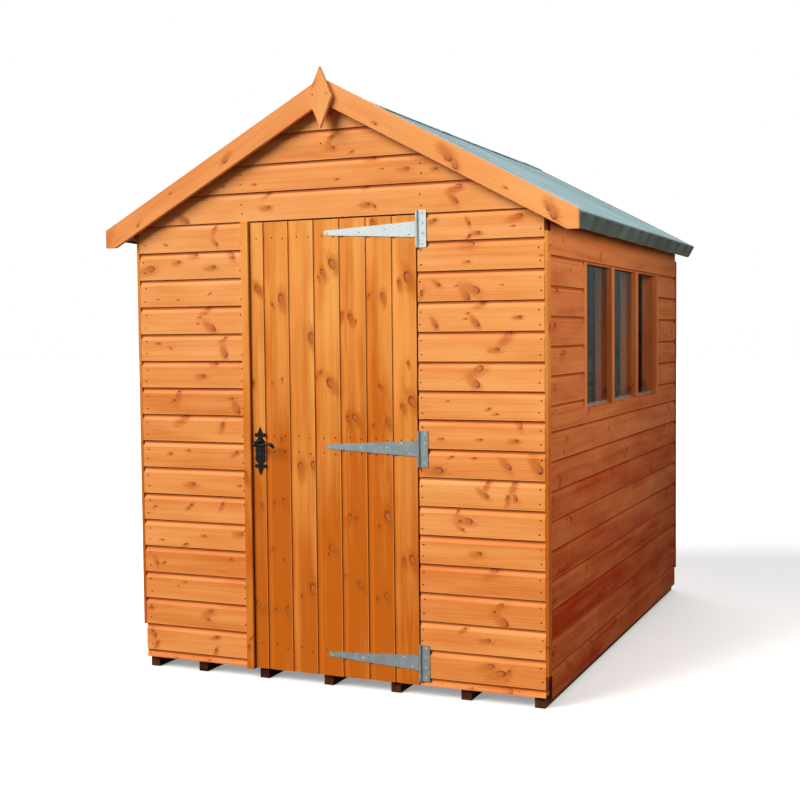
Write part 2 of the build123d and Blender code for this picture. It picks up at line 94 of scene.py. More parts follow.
class Finish:
    """A material, or the world, while it is being mixed."""

    def __init__(self, name, kept_in=bpy.data.materials):
        self.material = kept_in.new(name)
        self.material.use_nodes = True
        self.tree = self.material.node_tree
        self.tree.nodes.clear()

    def node(self, kind, settings, sockets, out=0):
        made = self.tree.nodes.new(kind)
        for key, value in (settings or {}).items():
            if key == "stops":
                for stop in value[len(made.color_ramp.elements):]:
                    made.color_ramp.elements.new(stop[0])
                for element, (position, colour) in zip(made.color_ramp.elements, value):
                    element.position = position
                    element.color = colour
            else:
                setattr(made, key, value)
        named = sockets.items() if isinstance(sockets, dict) else enumerate(sockets)
        for key, value in named:
            if isinstance(value, Wire):
                self.tree.links.new(value.socket, made.inputs[key])
            else:
                made.inputs[key].default_value = value
        return Wire(self, made.outputs[out]) if made.outputs else made

    def read(self, name):
        """What a mesh says of itself under that name."""
        return self.node("ShaderNodeAttribute", {"attribute_name": name}, (), "Vector")

    def split(self, vector):
        x = self.node("ShaderNodeSeparateXYZ", None, (vector,))
        outputs = x.socket.node.outputs
        return x, Wire(self, outputs[1]), Wire(self, outputs[2])

    def join(self, x, y, z):
        return self.node("ShaderNodeCombineXYZ", None, (x, y, z))

    def place(self):
        return self.node("ShaderNodeNewGeometry", None, (), "Position")

    def seen(self):
        """1 where the camera, a reflection or clear glass looks, and 0 for the light that falls on things."""
        kinds = ("Camera", "Glossy", "Transmission")
        rays = [self.node("ShaderNodeLightPath", None, (), f"Is {kind} Ray") for kind in kinds]
        return rays[0].maths("MAXIMUM", rays[1]).maths("MAXIMUM", rays[2])

    def cloud(self, where, scale, detail, roughness=0.5):
        """Soft noise between 0 and 1."""
        sockets = {"Vector": where, "Scale": scale, "Detail": detail, "Roughness": roughness}
        return self.node("ShaderNodeTexNoise", None, sockets)

    def cells(self, where, scale):
        """Cells that meet without a gap, each of its own even colour."""
        sockets = {"Vector": where, "Scale": scale}
        return self.node("ShaderNodeTexVoronoi", None, sockets, "Color")

    def ease(self, value, low, high, bottom=0.0, top=1.0):
        """A smooth step from bottom to top while the value goes from low to high."""
        settings = {"interpolation_type": "SMOOTHSTEP"}
        return self.node("ShaderNodeMapRange", settings, (value, low, high, bottom, top))

    def blend(self, share, first, second, way="MIX"):
        settings = {"data_type": "RGBA", "blend_type": way}
        return self.node("ShaderNodeMix", settings, {0: share, 6: first, 7: second}, 2)

    def done(self, colour, roughness, height=None, relief=0.001, **constants):
        """The shader, with relief as the depth in metres that the height stands for."""
        sockets = {"Base Color": colour, "Roughness": roughness}
        for key, value in constants.items():
            sockets[key.replace("_", " ")] = value
        if height is not None:
            bump = {"Strength": 1.0, "Distance": relief, "Height": height}
            sockets["Normal"] = self.node("ShaderNodeBump", None, bump)
        shader = self.node("ShaderNodeBsdfPrincipled", None, sockets)
        self.node("ShaderNodeOutputMaterial", None, {"Surface": shader})
        return self.material


KNOTS = 4  # how many knots a face of timber can show


def wood(name, *colours, sheen, gloss, figure=1.0, foot_stain_and_shade=0.0, runs=0.0, flare=0.78):
    """Stained softwood: growth rings that flow round knots, streaks of stain, fibres and pores.

    The colours are pale, body and deep stain, a knot's heart and its bark. foot_stain_and_shade darkens a wall's foot,
    partly stain and partly painted shade; runs are pale drips, and flare is how far a knot colours the grain round it."""
    f = Finish(name)
    pale, body, deep, heart, bark = (paint(*colour) for colour in colours)
    along, across, inward = f.split(f.read("grain"))
    seed, pith_across, pith_depth = f.split(f.read("growth"))
    tone, warmth, end = f.split(f.read("tone"))
    lip, lapped, _ = f.split(f.read("lap"))

    wander = f.cloud(f.join(along * 1.4 + seed, across * 5, seed), 1, 2) - 0.5
    swell = f.cloud(f.join(along * 0.8 - seed, seed, 0.0), 1, 2) - 0.5
    ragged = f.cloud(f.join(along * 90 + seed, across * 90, inward * 90), 1, 2) - 0.5
    flames = f.cloud(f.join(along * 26 + seed, across * 120, inward * 120), 1, 3, 0.6) - 0.5
    core, pin, rim, halo, lift = 0.0, 0.0, 0.0, 0.0, 0.0
    for index in range(KNOTS):
        knot = f.read(f"knot_{index}")
        knot_along, knot_across, size = f.split(knot)
        lean = Wire(f, knot.socket.node.outputs["Alpha"])
        run = along - knot_along
        rise = across - knot_across
        lengthwise = run * lean.maths("COSINE") + rise * lean.maths("SINE")
        sideways = rise * lean.maths("COSINE") - run * lean.maths("SINE")
        flat = lengthwise * 0.62
        reach = (flat * flat + sideways * sideways) / (size * size)
        near = reach.maths("SQRT") * (1 + ragged * 0.45)
        behind = flat + size * 0.2
        beside = sideways + size * 0.16
        shifted = ((behind * behind + beside * beside) / (size * size)).maths("SQRT") * (1 + ragged * 0.3)
        trail = lengthwise * 0.36 + size * 0.45
        below = sideways * 0.9 + size * 0.5
        smear = ((trail * trail + below * below) / (size * size)).maths("SQRT") * (1 + flames * 1.3)
        inside = 1 - f.ease(near, 0.66, 0.9)
        small = 1 - f.ease(size, 0.0035, 0.0085)
        core = inside.maths("MAXIMUM", core)
        pin = (inside * small).maths("MAXIMUM", pin)
        ring = f.ease(shifted, 0.66, 0.96) * (1 - f.ease(near, 0.9, 1.2))
        rim = ring.maths("MAXIMUM", rim)
        halo = (1 - f.ease(smear, 0.5, 2.6)).maths("MAXIMUM", halo)
        lift = size * (reach * -0.3).maths("EXPONENT") * 0.9 + lift

    sideways = across - pith_across + wander * 0.018
    depth = inward + pith_depth + swell * 0.03
    radius = (sideways * sideways + depth * depth).maths("SQRT") + lift
    rings = radius / 0.0058 + wander * 1.5
    turn = rings.maths("FRACT")
    late = f.ease(turn, 0.1, 0.85) - f.ease(turn, 0.87, 1.0)
    streak = f.cloud(f.join(along * 0.55 + seed, radius * 52, seed), 1, 3, 0.6)
    blotch = f.cloud(f.join(along * 2.4 + seed, across * 13, inward * 13 + seed), 1, 2)
    fibre = f.cloud(f.join(along * 9 + seed, across * 420, inward * 420), 1, 2, 0.6)
    height = f.split(f.place())[2]
    stain = (
        0.5
        + (streak - 0.5) * (0.95 * figure)
        + (blotch - 0.5) * (1.05 * figure)
        + (late - 0.4) * (0.12 * figure)
        + tone
    )
    # Darker towards the foot of a wall: partly stain, partly painted shade.
    if foot_stain_and_shade:
        lowness = 1 - f.ease(height, 0.0, 2.1)
        stain = stain + lowness * foot_stain_and_shade
    colour = f.node(
        "ShaderNodeValToRGB",
        {"stops": ((0.0, pale), (0.5, body), (1.0, deep))},
        (stain,),
    )
    colour = f.blend(halo * (flare + warmth), colour, f.blend(0.22, deep, bark))
    knot_rings = ((lift + radius) / 0.0019).maths("SINE") * 0.1
    colour = f.blend(core * (0.74 + knot_rings + warmth), colour, heart)
    colour = f.blend(rim * (0.8 + ragged * 0.9), colour, bark)
    colour = f.blend(pin * 0.7, colour, bark)
    # Painted highlight: the lower arris of each lapped board is blended towards the pale stain.
    arris_highlight = (1 - f.ease(across - lip, 0.0012, 0.004)) * (1 - f.ease(inward, 0.001, 0.003)) * lapped
    colour = f.blend(arris_highlight * 0.55, colour, pale)
    # Deeper stain in the lower scoop: partly stain pooled there, partly painted shade that tones down the light the
    # scoop catches.
    scoop_stain_and_shade = f.ease(inward, 0.0002, 0.0014) * (1 - f.ease(inward, 0.0022, 0.005)) * lapped
    colour = f.blend(scoop_stain_and_shade * 0.3, colour, deep)
    if runs:
        x, y, z = f.split(f.place())
        drip = f.ease(f.cloud(f.join(x * 0.5, y * 30, z * 3.2), 1, 2, 0.6), 0.6, 0.76)
        colour = f.blend(drip * runs, colour, pale)
    shaded = f.ease(inward, 0.0058, 0.0064) * lapped
    grey = (0.91 + fibre * 0.18) * (1 - shaded * 0.35)
    if foot_stain_and_shade:
        grey = grey * (1 - lowness * (foot_stain_and_shade * 0.18))
    colour = f.blend(1.0, colour, f.join(grey, grey * (1 - shaded * 0.3), grey * (1 - shaded * 0.45)), "MULTIPLY")
    colour = f.blend(end * 0.45, colour, bark)
    roughness = sheen + (fibre - 0.5) * 0.16 + rim * 0.12 - late * 0.05 + end * 0.25
    relief = fibre * 0.45 + late * 0.2 - rim * 0.7 + core * 0.5 + blotch * 0.8
    return f.done(colour, roughness, relief, 0.0005, Specular_IOR_Level=gloss)


front_stain = wood(
    "honey_stained_boards", (243, 172, 108), (232, 151, 81), (210, 114, 46), (184, 102, 58), (126, 52, 20),
    sheen=0.5, figure=0.85, foot_stain_and_shade=0.24, gloss=0.1,
)
door_stain = wood(
    "golden_stained_door_boards", (246, 180, 102), (232, 150, 68), (196, 98, 16), (186, 102, 46), (120, 50, 14),
    sheen=0.48, figure=0.85, foot_stain_and_shade=0.62, gloss=0.1,
)
# The front's stain made darker and redder for the side walls and their parts: painted shade, as the same stain lies in
# shade there.
shaded_side_stain = wood(
    "russet_boards_painted_shaded", (230, 152, 96), (217, 129, 73), (165, 50, 15), (160, 76, 38), (104, 36, 14),
    sheen=0.6, figure=0.5, foot_stain_and_shade=0.38, gloss=0.004, runs=0.2, flare=0.4,
)
corner_stain = wood(
    "amber_stained_corner_trims", (240, 166, 90), (228, 146, 68), (188, 95, 32), (180, 98, 46), (116, 48, 16),
    sheen=0.55, figure=0.6, foot_stain_and_shade=0.58, gloss=0.004,
)
trim_stain = wood(
    "honey_stained_trim", (243, 174, 108), (234, 152, 84), (216, 122, 54), (190, 110, 66), (132, 62, 26),
    sheen=0.5, figure=0.75, gloss=0.1,
)
frame_stain = wood(
    "dipped_sawn_framing", (210, 140, 84), (184, 110, 60), (150, 78, 38), (136, 76, 44), (84, 40, 20),
    sheen=0.68, gloss=0.05,
)
bare_board = wood(
    "bare_softwood_boards", (226, 196, 150), (208, 170, 120), (178, 134, 86), (146, 96, 58), (96, 58, 34),
    sheen=0.72, gloss=0.05,
)
dark_bearer = wood(
    "dark_treated_bearers", (132, 84, 50), (98, 56, 32), (58, 30, 18), (60, 34, 22), (34, 18, 12),
    sheen=0.78, gloss=0.03,
)


def zinc(name, bright, dull):
    """Zinc plate: a frosty spangle, dull streaks and a little grey bloom."""
    f = Finish(name)
    where = f.place()
    spangle = f.cells(where, 160)
    tone = f.split(spangle)[0]
    cloud = f.cloud(where, 34, 4, 0.62)
    bloom = f.ease(f.cloud(where, 11, 3, 0.7), 0.5, 0.72)
    mixture = f.ease(cloud * 0.7 + tone * 0.3, 0.3, 0.7)
    colour = f.blend(mixture, dull, bright)
    colour = f.blend(bloom * 0.35, colour, bright)
    roughness = 0.34 + cloud * 0.2 + bloom * 0.2
    return f.done(colour, roughness, cloud + tone * 0.4, 0.00014, Metallic=0.85)


bright_zinc = zinc("bright_zinc_plate", paint(160, 166, 167), paint(150, 158, 160))
dull_zinc = zinc("dull_zinc_plate", paint(118, 127, 128), paint(104, 114, 116))


def black_iron_finish():
    """Cast iron under black powder coat: a fine orange peel and worn, greyer high spots."""
    f = Finish("black_coated_iron")
    where = f.place()
    peel = f.cloud(where, 900, 2)
    lumps = f.cloud(where, 120, 3, 0.6)
    worn = f.ease(lumps, 0.55, 0.8)
    colour = f.blend(worn * 0.5, paint(9, 8, 8), paint(24, 24, 26))
    return f.done(colour, 0.24 + peel * 0.12, lumps * 0.7 + peel * 0.3, 0.0004, Specular_IOR_Level=0.14)


black_iron = black_iron_finish()


def nail_finish(name, clean, rusty, metallic, gloss=0.12):
    f = Finish(name)
    where = f.place()
    rust = f.ease(f.cloud(where, 260, 3, 0.7), 0.42, 0.6)
    colour = f.blend(rust, clean, rusty)
    return f.done(colour, 0.45 + rust * 0.35, rust, 0.0002, Metallic=metallic, Specular_IOR_Level=gloss)


nail_steel = nail_finish("weathered_nail_heads", paint(46, 22, 12), paint(30, 12, 6), 0.0, 0.02)
screw_steel = nail_finish("zinc_screw_heads", paint(198, 190, 168), paint(120, 92, 58), 0.7)
clout_steel = nail_finish("galvanised_clout_heads", paint(96, 92, 86), paint(54, 44, 38), 0.3)


def felt_finish():
    """Green mineral felt: fine granules, a pale bloom on the slope with streaks down it, painted shade where turned
    down.
    """
    f = Finish("green_mineral_felt")
    where = f.place()
    x, y, z = f.split(where)
    turned, nail_shade, _ = f.split(f.read("turned"))
    granule = f.cells(where, 620)
    speck = f.split(granule)[0]
    grit = f.cloud(where, 300, 3, 0.7)
    run = f.cloud(f.join(x * 0.9, y * 15, z * 0.9), 1, 4, 0.6)
    patch = f.cloud(where, 2.6, 3, 0.55)
    bloom = f.ease(patch * 0.5 + run * 0.5, 0.34, 0.62)
    slope = f.blend(bloom, paint(112, 141, 147), paint(148, 175, 181))
    slope = f.blend(f.ease(run, 0.56, 0.78) * 0.5, slope, paint(168, 188, 193))
    # Painted shade: the turned-down felt over the eaves gets darker colours than the slope.
    edge = f.blend(f.ease(patch, 0.35, 0.65), paint(70, 80, 72), paint(98, 110, 100))
    # Painted shade in the puckers round each nail of the turned-down felt.
    edge = f.blend(nail_shade * 0.75, edge, paint(48, 38, 36))
    colour = f.blend(turned, slope, edge)
    grey = 0.8 + speck * 0.26 + grit * 0.14
    colour = f.blend(1.0, colour, f.join(grey, grey, grey), "MULTIPLY")
    relief = speck * 0.6 + grit * 0.6
    return f.done(colour, 0.88 - grit * 0.1, relief, 0.0007, Specular_IOR_Level=0.15)


mineral_felt = felt_finish()


def glazing():
    """Clear horticultural glass: a film of dust that thickens at the foot, wiped streaks and a green cast."""
    f = Finish("dusty_clear_glass")
    where = f.place()
    x, y, z = f.split(where)
    wipe = f.cloud(f.join(y * 3, y * 7 + z * 1.8, z * 1.1), 1, 3, 0.6)
    dust = f.cloud(where, 9, 4, 0.65)
    speck = f.ease(f.cloud(where, 240, 2), 0.66, 0.74)
    film = f.ease(wipe * 0.6 + dust * 0.4, 0.42, 0.66)
    glass_low, glass_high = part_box("window_glass")
    foot = glass_low.z
    last_pane = glass_low.y + (glass_high.y - glass_low.y) * 0.66
    settled = 1 - f.ease(z - dust * 0.012, foot, foot + 0.016)
    green = f.blend(film, paint(60, 84, 86), paint(112, 138, 142))
    clear = f.node("ShaderNodeBsdfTransparent", None, {"Color": paint(254, 250, 244)})
    dust_colour = f.blend(settled, green, paint(170, 156, 136))
    matt_dust = {"Base Color": dust_colour, "Roughness": 1.0, "Specular IOR Level": 0.0}
    grime = f.node("ShaderNodeBsdfPrincipled", None, matt_dust)
    mirror = f.node("ShaderNodeBsdfGlossy", None, {"Color": paint(108, 132, 136), "Roughness": 0.04})
    # Painted reflection: a pale film thickening towards the top of the glass stands in for sky reflected there.
    painted_sky_reflection = f.ease(z + wipe * 0.3, foot + 0.3, foot + 0.85)
    # Painted reflection: the mirror's share grows from the foot to the top of the pane.
    painted_reflection_rise = f.ease(z + dust * 0.1, foot, foot + 0.62, 0.35, 1.15)
    # The last pane is wiped clean of dust, and its reflection is painted weaker.
    wiped_clean_and_weak_reflection = 1 - f.ease(y, last_pane - 0.02, last_pane) * 0.85
    cover = ((film * 0.05 + painted_sky_reflection * 0.12 + speck * 0.04) * wiped_clean_and_weak_reflection + 0.01).maths("MAXIMUM", settled * 0.6)
    dusty = f.node("ShaderNodeMixShader", None, (cover, clear, grime))
    fresnel = f.node("ShaderNodeFresnel", None, {"IOR": 1.1})
    shader = f.node("ShaderNodeMixShader", None, (fresnel * wiped_clean_and_weak_reflection * painted_reflection_rise * 0.3, dusty, mirror))
    f.node("ShaderNodeOutputMaterial", None, {"Surface": shader})
    return f.material


clear_glass = glazing()


# ---------------------------------------------------------------- putting meshes into the scene
def show(mesh, finish, slot, *stands_for, body="shed"):
    """A mesh as a piece of its own name that rides on a body, in place of the plain parts it stands for."""
    piece = bpy.data.objects.new(mesh.name, mesh)
    bpy.context.scene.collection.objects.link(piece)
    mesh.materials.append(finish)
    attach(piece, body)
    if stands_for:
        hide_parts(*stands_for)


def new_mesh(name, points, faces):
    mesh = bpy.data.meshes.new(name)
    mesh.from_pydata(points, [], faces)
    return mesh


def note(mesh, key, domain, rows, kind="VECTOR"):
    """A row for every point or face of a mesh, under the name by which a finish reads it."""
    layer = mesh.attributes.new(key, f"FLOAT_{kind}", domain)
    layer.data.foreach_set(kind.lower(), np.array(rows, dtype=np.float32).ravel())


def smoothed(mesh, angle=35, flat_over=0.009):
    """Faces turned outward, what is round shaded round, and broad faces flat with crisp arrises."""
    shell = bmesh.new()
    shell.from_mesh(mesh)
    bmesh.ops.recalc_face_normals(shell, faces=shell.faces)
    shell.to_mesh(mesh)
    shell.free()
    mesh.shade_smooth()
    mesh.set_sharp_from_angle(angle=math.radians(angle))
    points = [v.co for v in mesh.vertices]
    for face in mesh.polygons:
        longest = max((points[a] - points[b]).length for a, b in face.edge_keys)
        if face.area > flat_over * longest:
            face.use_smooth = False
    return mesh


def loft(skin, rings):
    """Adds a closed skin through rings of points, and gives its last face."""
    made = [[skin.verts.new(point) for point in ring] for ring in rings]
    count = len(made[0])
    for lower, upper in zip(made, made[1:]):
        for n in range(count):
            m = (n + 1) % count
            skin.faces.new((lower[n], lower[m], upper[m], upper[n]))
    skin.faces.new(made[0][::-1])
    return skin.faces.new(made[-1])


def solids(node):
    """Each separate solid of a plain part, as a bmesh with whole flat faces."""
    whole = bmesh.new()
    whole.from_mesh(cad[node].data)
    bmesh.ops.remove_doubles(whole, verts=whole.verts, dist=1e-6)
    bmesh.ops.dissolve_limit(whole, angle_limit=0.01, verts=whole.verts, edges=whole.edges)
    whole.verts.ensure_lookup_table()
    waiting = set(whole.verts)
    found = []
    while waiting:
        start = min(waiting, key=lambda v: v.index)
        island, edge = {start}, [start]
        while edge:
            for link in edge.pop().link_edges:
                for v in link.verts:
                    if v not in island:
                        island.add(v)
                        edge.append(v)
        waiting -= island
        part = bmesh.new()
        copies = {v: part.verts.new(v.co) for v in sorted(island, key=lambda v: v.index)}
        for face in whole.faces:
            if face.verts[0] in island:
                part.faces.new([copies[v] for v in face.verts])
        found.append(part)
    whole.free()
    return found


def solid_boxes(node):
    """The lowest and highest corner of each separate solid of a plain part."""
    boxes = []
    for part in solids(node):
        corners = np.array([v.co for v in part.verts])
        boxes.append((Vector(corners.min(0)), Vector(corners.max(0))))
        part.free()
    return sorted(boxes, key=lambda pair: (round(pair[0].y, 4), round(pair[0].x, 4), round(pair[0].z, 4)))


# ---------------------------------------------------------------- timber
DRESSED_PIECE = 0.35  # a dressed length is divided about this often, and each piece finds its own nearest knots
DRESSED_KNOT_MM = 10.0  # the largest radius of a knot in it


class Stock:
    """The timber cut for one part of the shed, with what the wood finish reads from each length."""

    def __init__(self, seed, spread=0.13):
        self.draw = random.Random(seed)
        self.spread = spread
        self.points, self.grain = [], []
        self.faces, self.growth, self.tone, self.laps, self.knots = [], [], [], [], []
        self.lap = (0.0, 0.0, 0.0)

    def nature(self, width, tone=None):
        """How one length grew: where the pith ran, how it took the stain."""
        draw = self.draw
        growth = (
            draw.uniform(0, 50),
            draw.uniform(-0.45, 0.45) * width,
            draw.choice((-1, 1)) * draw.uniform(0.02, 0.09),
        )
        shade = draw.uniform(-self.spread, self.spread) if tone is None else tone
        return growth, (shade, draw.uniform(-0.12, 0.12))

    def scatter_knots(self, start, finish, width, per_metre=4.5, largest=13.0):
        """Knots of uneven size, often in pairs, as branches leave the stem in whorls."""
        draw = self.draw
        knots = []
        place = start + draw.uniform(0.0, 0.25)
        while place < finish:
            for _ in range(draw.choice((1, 1, 2, 2, 3))):
                size = largest * MM * (0.28 + 0.72 * draw.random() ** 1.6)
                lean = draw.uniform(-1.2, 1.2)
                knots.append((place + draw.uniform(-0.05, 0.05), draw.uniform(-0.42, 0.42) * width, size, lean))
            place += draw.uniform(0.5, 1.5) * 1.75 / per_metre
        return knots

    def add_face(self, corners, middle, nature, knots, end=0.0):
        growth, (shade, warmth) = nature
        self.faces.append(corners)
        self.growth.append(growth)
        self.tone.append((shade, warmth, end))
        self.laps.append(self.lap)
        nearest = sorted(knots, key=lambda knot: abs(knot[0] - middle) / (0.02 + knot[2]))[:KNOTS]
        nearest += [(99.0, 0.0, 0.001, 0.0)] * (KNOTS - len(nearest))
        self.knots.append(nearest)

    def lay(self, outline, place, start, finish, steps, knots=None, tone=None, nature=None, wave_mm=0.5, lapped=0.0):
        """One length: an outline of (across, inward) points carried along the grain."""
        origin, along, across, inward = place
        middle_across = (min(v for v, _ in outline) + max(v for v, _ in outline)) / 2
        self.lap = (-middle_across, lapped, 0.0)
        width = max(v for v, _ in outline) - min(v for v, _ in outline)
        cut = start if callable(start) else lambda v, w: start
        far_cut = finish if callable(finish) else lambda v, w: finish
        near_end = min(cut(v, w) for v, w in outline)
        far_end = max(far_cut(v, w) for v, w in outline)
        nature = nature or self.nature(width, tone)
        knots = self.scatter_knots(near_end, far_end, width) if knots is None else knots
        first, count = len(self.points), len(outline)
        seed = nature[0][0]
        for step in range(steps + 1):
            share = step / steps
            for v, w in outline:
                u = cut(v, w) + (far_cut(v, w) - cut(v, w)) * share
                sway = noise.noise(Vector((u * 1.6, seed, 0.0))) * wave_mm * MM
                bow = abs(noise.noise(Vector((u * 1.2, seed, 9.0)))) * wave_mm * MM
                self.points.append(origin + along * u + across * (v + sway) + inward * (w + bow))
                self.grain.append((u, v - middle_across, w))
        for step in range(steps):
            middle = near_end + (far_end - near_end) * (step + 0.5) / steps
            ring = first + step * count
            for here in range(count):
                after = (here + 1) % count
                corners = (ring + here, ring + after, ring + count + after, ring + count + here)
                self.add_face(corners, middle, nature, knots)
        last = first + steps * count
        self.add_face(tuple(range(first, first + count)), near_end, nature, knots, 1.0)
        self.add_face(tuple(range(last, last + count)), far_end, nature, knots, 1.0)

    def dress(self, part, along=None, arris_mm=1.2, per_metre=3.0, tone=None, marks=None):
        """A sawn or planed length with the shape of a plain solid, its arrises eased."""
        corners = np.array([v.co for v in part.verts])
        centre = corners.mean(0)
        axes = np.linalg.svd(corners - centre)[2]
        if along is not None:
            lengthwise = Vector(along).normalized()
            others = sorted((Vector(a) for a in axes), key=lambda a: abs(a.dot(lengthwise)))[:2]
            sideways = (others[0] - lengthwise * others[0].dot(lengthwise)).normalized()
        else:
            lengthwise, sideways = Vector(axes[0]), Vector(axes[1])
            if lengthwise.dot(Vector((1, 1, 1))) < 0:
                lengthwise = -lengthwise
        inward = lengthwise.cross(sideways)
        middle = Vector(centre)
        spans = [[(v.co - middle).dot(axis) for v in part.verts] for axis in (lengthwise, sideways, inward)]
        if max(spans[1]) - min(spans[1]) < max(spans[2]) - min(spans[2]):
            sideways, inward = inward, sideways
            spans[1], spans[2] = spans[2], spans[1]
        width = max(spans[1]) - min(spans[1])
        start, finish = min(spans[0]), max(spans[0])
        sharp = [e for e in part.edges if len(e.link_faces) == 2 and e.calc_face_angle() > 0.35]
        if arris_mm:
            bmesh.ops.bevel(part, geom=sharp, offset=arris_mm * MM, segments=2, profile=0.5, affect="EDGES")
        cuts = int((finish - start) / DRESSED_PIECE)
        for number in range(1, cuts + 1):
            where = middle + lengthwise * (start + (finish - start) * number / (cuts + 1))
            geometry = [*part.verts, *part.edges, *part.faces]
            bmesh.ops.bisect_plane(part, geom=geometry, dist=1e-6, plane_co=where, plane_no=lengthwise)
        nature = self.nature(width, tone)
        if marks is None:
            knots = self.scatter_knots(start, finish, width, per_metre, DRESSED_KNOT_MM)
        else:
            knots = [(place, share * width, radius * MM, lean) for place, share, radius, lean in marks]
        first = len(self.points)
        part.verts.index_update()
        for v in part.verts:
            offset = v.co - middle
            self.points.append(v.co.copy())
            self.grain.append((offset.dot(lengthwise), offset.dot(sideways), offset.dot(inward)))
        for face in part.faces:
            centre_along = (face.calc_center_median() - middle).dot(lengthwise)
            face.normal_update()
            end = 1.0 if abs(face.normal.dot(lengthwise)) > 0.8 else 0.0
            self.add_face([first + v.index for v in face.verts], centre_along, nature, knots, end)
        part.free()

    def show(self, name, finish, *stands_for, slot="stained_cladding", body="shed"):
        mesh = new_mesh(name, self.points, self.faces)
        note(mesh, "grain", "POINT", self.grain)
        for key, rows in (("growth", self.growth), ("tone", self.tone), ("lap", self.laps)):
            note(mesh, key, "FACE", rows)
        for index in range(KNOTS):
            note(mesh, f"knot_{index}", "FACE", [knots[index] for knots in self.knots], "COLOR")
        show(smoothed(mesh), finish, slot, *stands_for, body=body)


def dressed(node, finish, name=None, slot="stained_cladding", body="shed", **how):
    """A plain part's solids as dressed timber."""
    name = name or f"{node}_timber"
    stock = Stock(name)
    for part in solids(node):
        stock.dress(part, **how)
    stock.show(name, finish, node, slot=slot, body=body)


# ---------------------------------------------------------------- nails and screws
HEAD_TILT = 0.06  # how far a nail's head leans
HEAD_RIM = 0.35  # the height of its rim, as a share of the whole


def spokes(side, other, angles):
    return [side * math.cos(angle) + other * math.sin(angle) for angle in angles]


class Fixings:
    """Heads of nails or screws, each a low dome on its own face."""

    def __init__(self, seed):
        self.draw = random.Random(seed)
        self.points, self.faces = [], []

    def skin(self, rings):
        """A closed skin through rings of points."""
        first, count = len(self.points), len(rings[0])
        self.points.extend(point for ring in rings for point in ring)
        last = first + (len(rings) - 1) * count
        for start in range(first, last, count):
            for step in range(count):
                a, b = start + step, start + (step + 1) % count
                self.faces.append((a, b, b + count, a + count))
        self.faces.append(tuple(range(last, last + count)))
        self.faces.append(tuple(reversed(range(first, first + count))))

    def head(self, place, outward, radius, rise, sides=8):
        """A nail's head, driven a little askew."""
        draw = self.draw
        outward = Vector(outward).normalized()
        outward = (outward + Vector([draw.uniform(-1, 1) for _ in range(3)]) * HEAD_TILT).normalized()
        side = outward.orthogonal().normalized()
        around = spokes(side, outward.cross(side), [math.tau * step / sides for step in range(sides)])
        levels = ((1.0, -0.6), (1.0, HEAD_RIM), (0.62, 0.86))
        centres = [(place + outward * rise * lift, radius * reach) for reach, lift in levels]
        self.skin([[centre + spoke * wide for spoke in around] for centre, wide in centres])

    def screw(self, place, outward, radius, rise, turned):
        """A domed head with a sunk cross."""
        outward = Vector(outward).normalized()
        side = (RIGHT if abs(outward.x) < 0.5 else BACKWARD).copy()
        other = outward.cross(side)
        arm, half = radius * 0.55, radius * 0.14
        cross = []
        for quarter in range(4):
            turn = turned + math.tau * quarter / 4
            for a, b in ((arm, -half), (arm, half), (half, half)):
                cross.append((a * math.cos(turn) - b * math.sin(turn), a * math.sin(turn) + b * math.cos(turn)))
        around = spokes(side, other, [math.atan2(b, a) for a, b in cross])
        levels = ((radius, -0.5), (radius, 0.25), (radius * 0.8, 0.8))
        rings = [[place + spoke * reach + outward * rise * lift for spoke in around] for reach, lift in levels]
        rings += [[place + side * a + other * b + outward * rise * lift for a, b in cross] for lift in (1.0, -0.2)]
        self.skin(rings)

    def show(self, name, finish, body="shed"):
        show(smoothed(new_mesh(name, self.points, self.faces), 50), finish, "galvanised_steel", body=body)


# ---------------------------------------------------------------- sizes read from the plain model
left_low, left_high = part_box("front_wall_left")
right_low, right_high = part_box("front_wall_right")
gable_low, gable_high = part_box("front_gable")
back_low, back_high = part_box("back_wall")
side_low, side_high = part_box("right_wall_lower")
top_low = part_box("right_wall_top")[0]
near_low, near_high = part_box("right_wall_front")
far_low, far_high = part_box("right_wall_back")
west_low, west_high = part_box("left_wall")
door_low, door_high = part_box("door_leaf")
front = left_low.y
back = back_high.y
board_thickness = left_high.y - left_low.y
half_width = side_high.x
panel_half_width = right_high.x
ridge_underside = gable_high.z
eaves_underside = west_high.z
roof_fall = (ridge_underside - eaves_underside) / panel_half_width
pitch = math.atan(roof_fall)

# ---------------------------------------------------------------- shiplap
COVER = 0.112  # how much of a board shows
SCOOP = 0.025  # how far below the lap the hollow begins
OVERLAP = 0.0068  # how far a board runs up behind the next one's lip
TONGUE_FACE = 0.0064  # how deep the tongue's face lies
LIP_CLEARANCE = 0.0008
ARRIS = 0.0009
JOINT = 0.0012  # the gap at a board's end
SCOOP_STEPS = 6
MARK_SCALE = 0.86  # a marked radius takes in the dark rim round the knot


def shiplap(cover, tongue=TONGUE_FACE):
    """A board's section as (across, inward): a lip at the bottom, a scoop and a tongue at the top."""
    lip = tongue - LIP_CLEARANCE
    face_top = cover - SCOOP
    scoop_top = cover - 0.007
    rise = scoop_top - face_top
    sweep = (rise * rise + tongue * tongue) / (2 * tongue)
    spread = math.asin(rise / sweep)
    section = [(0.0, lip), (0.0, ARRIS), (ARRIS * 0.4, ARRIS * 0.3), (ARRIS, 0.0), (face_top - 0.0004, 0.0)]
    for step in range(1, SCOOP_STEPS + 1):
        angle = spread * (1 - step / SCOOP_STEPS)
        section.append((scoop_top - sweep * math.sin(angle), tongue - sweep + sweep * math.cos(angle)))
    top, rebate = cover + OVERLAP, 0.008
    return [*section, (top, tongue), (top, board_thickness), (rebate, board_thickness), (rebate, lip)]


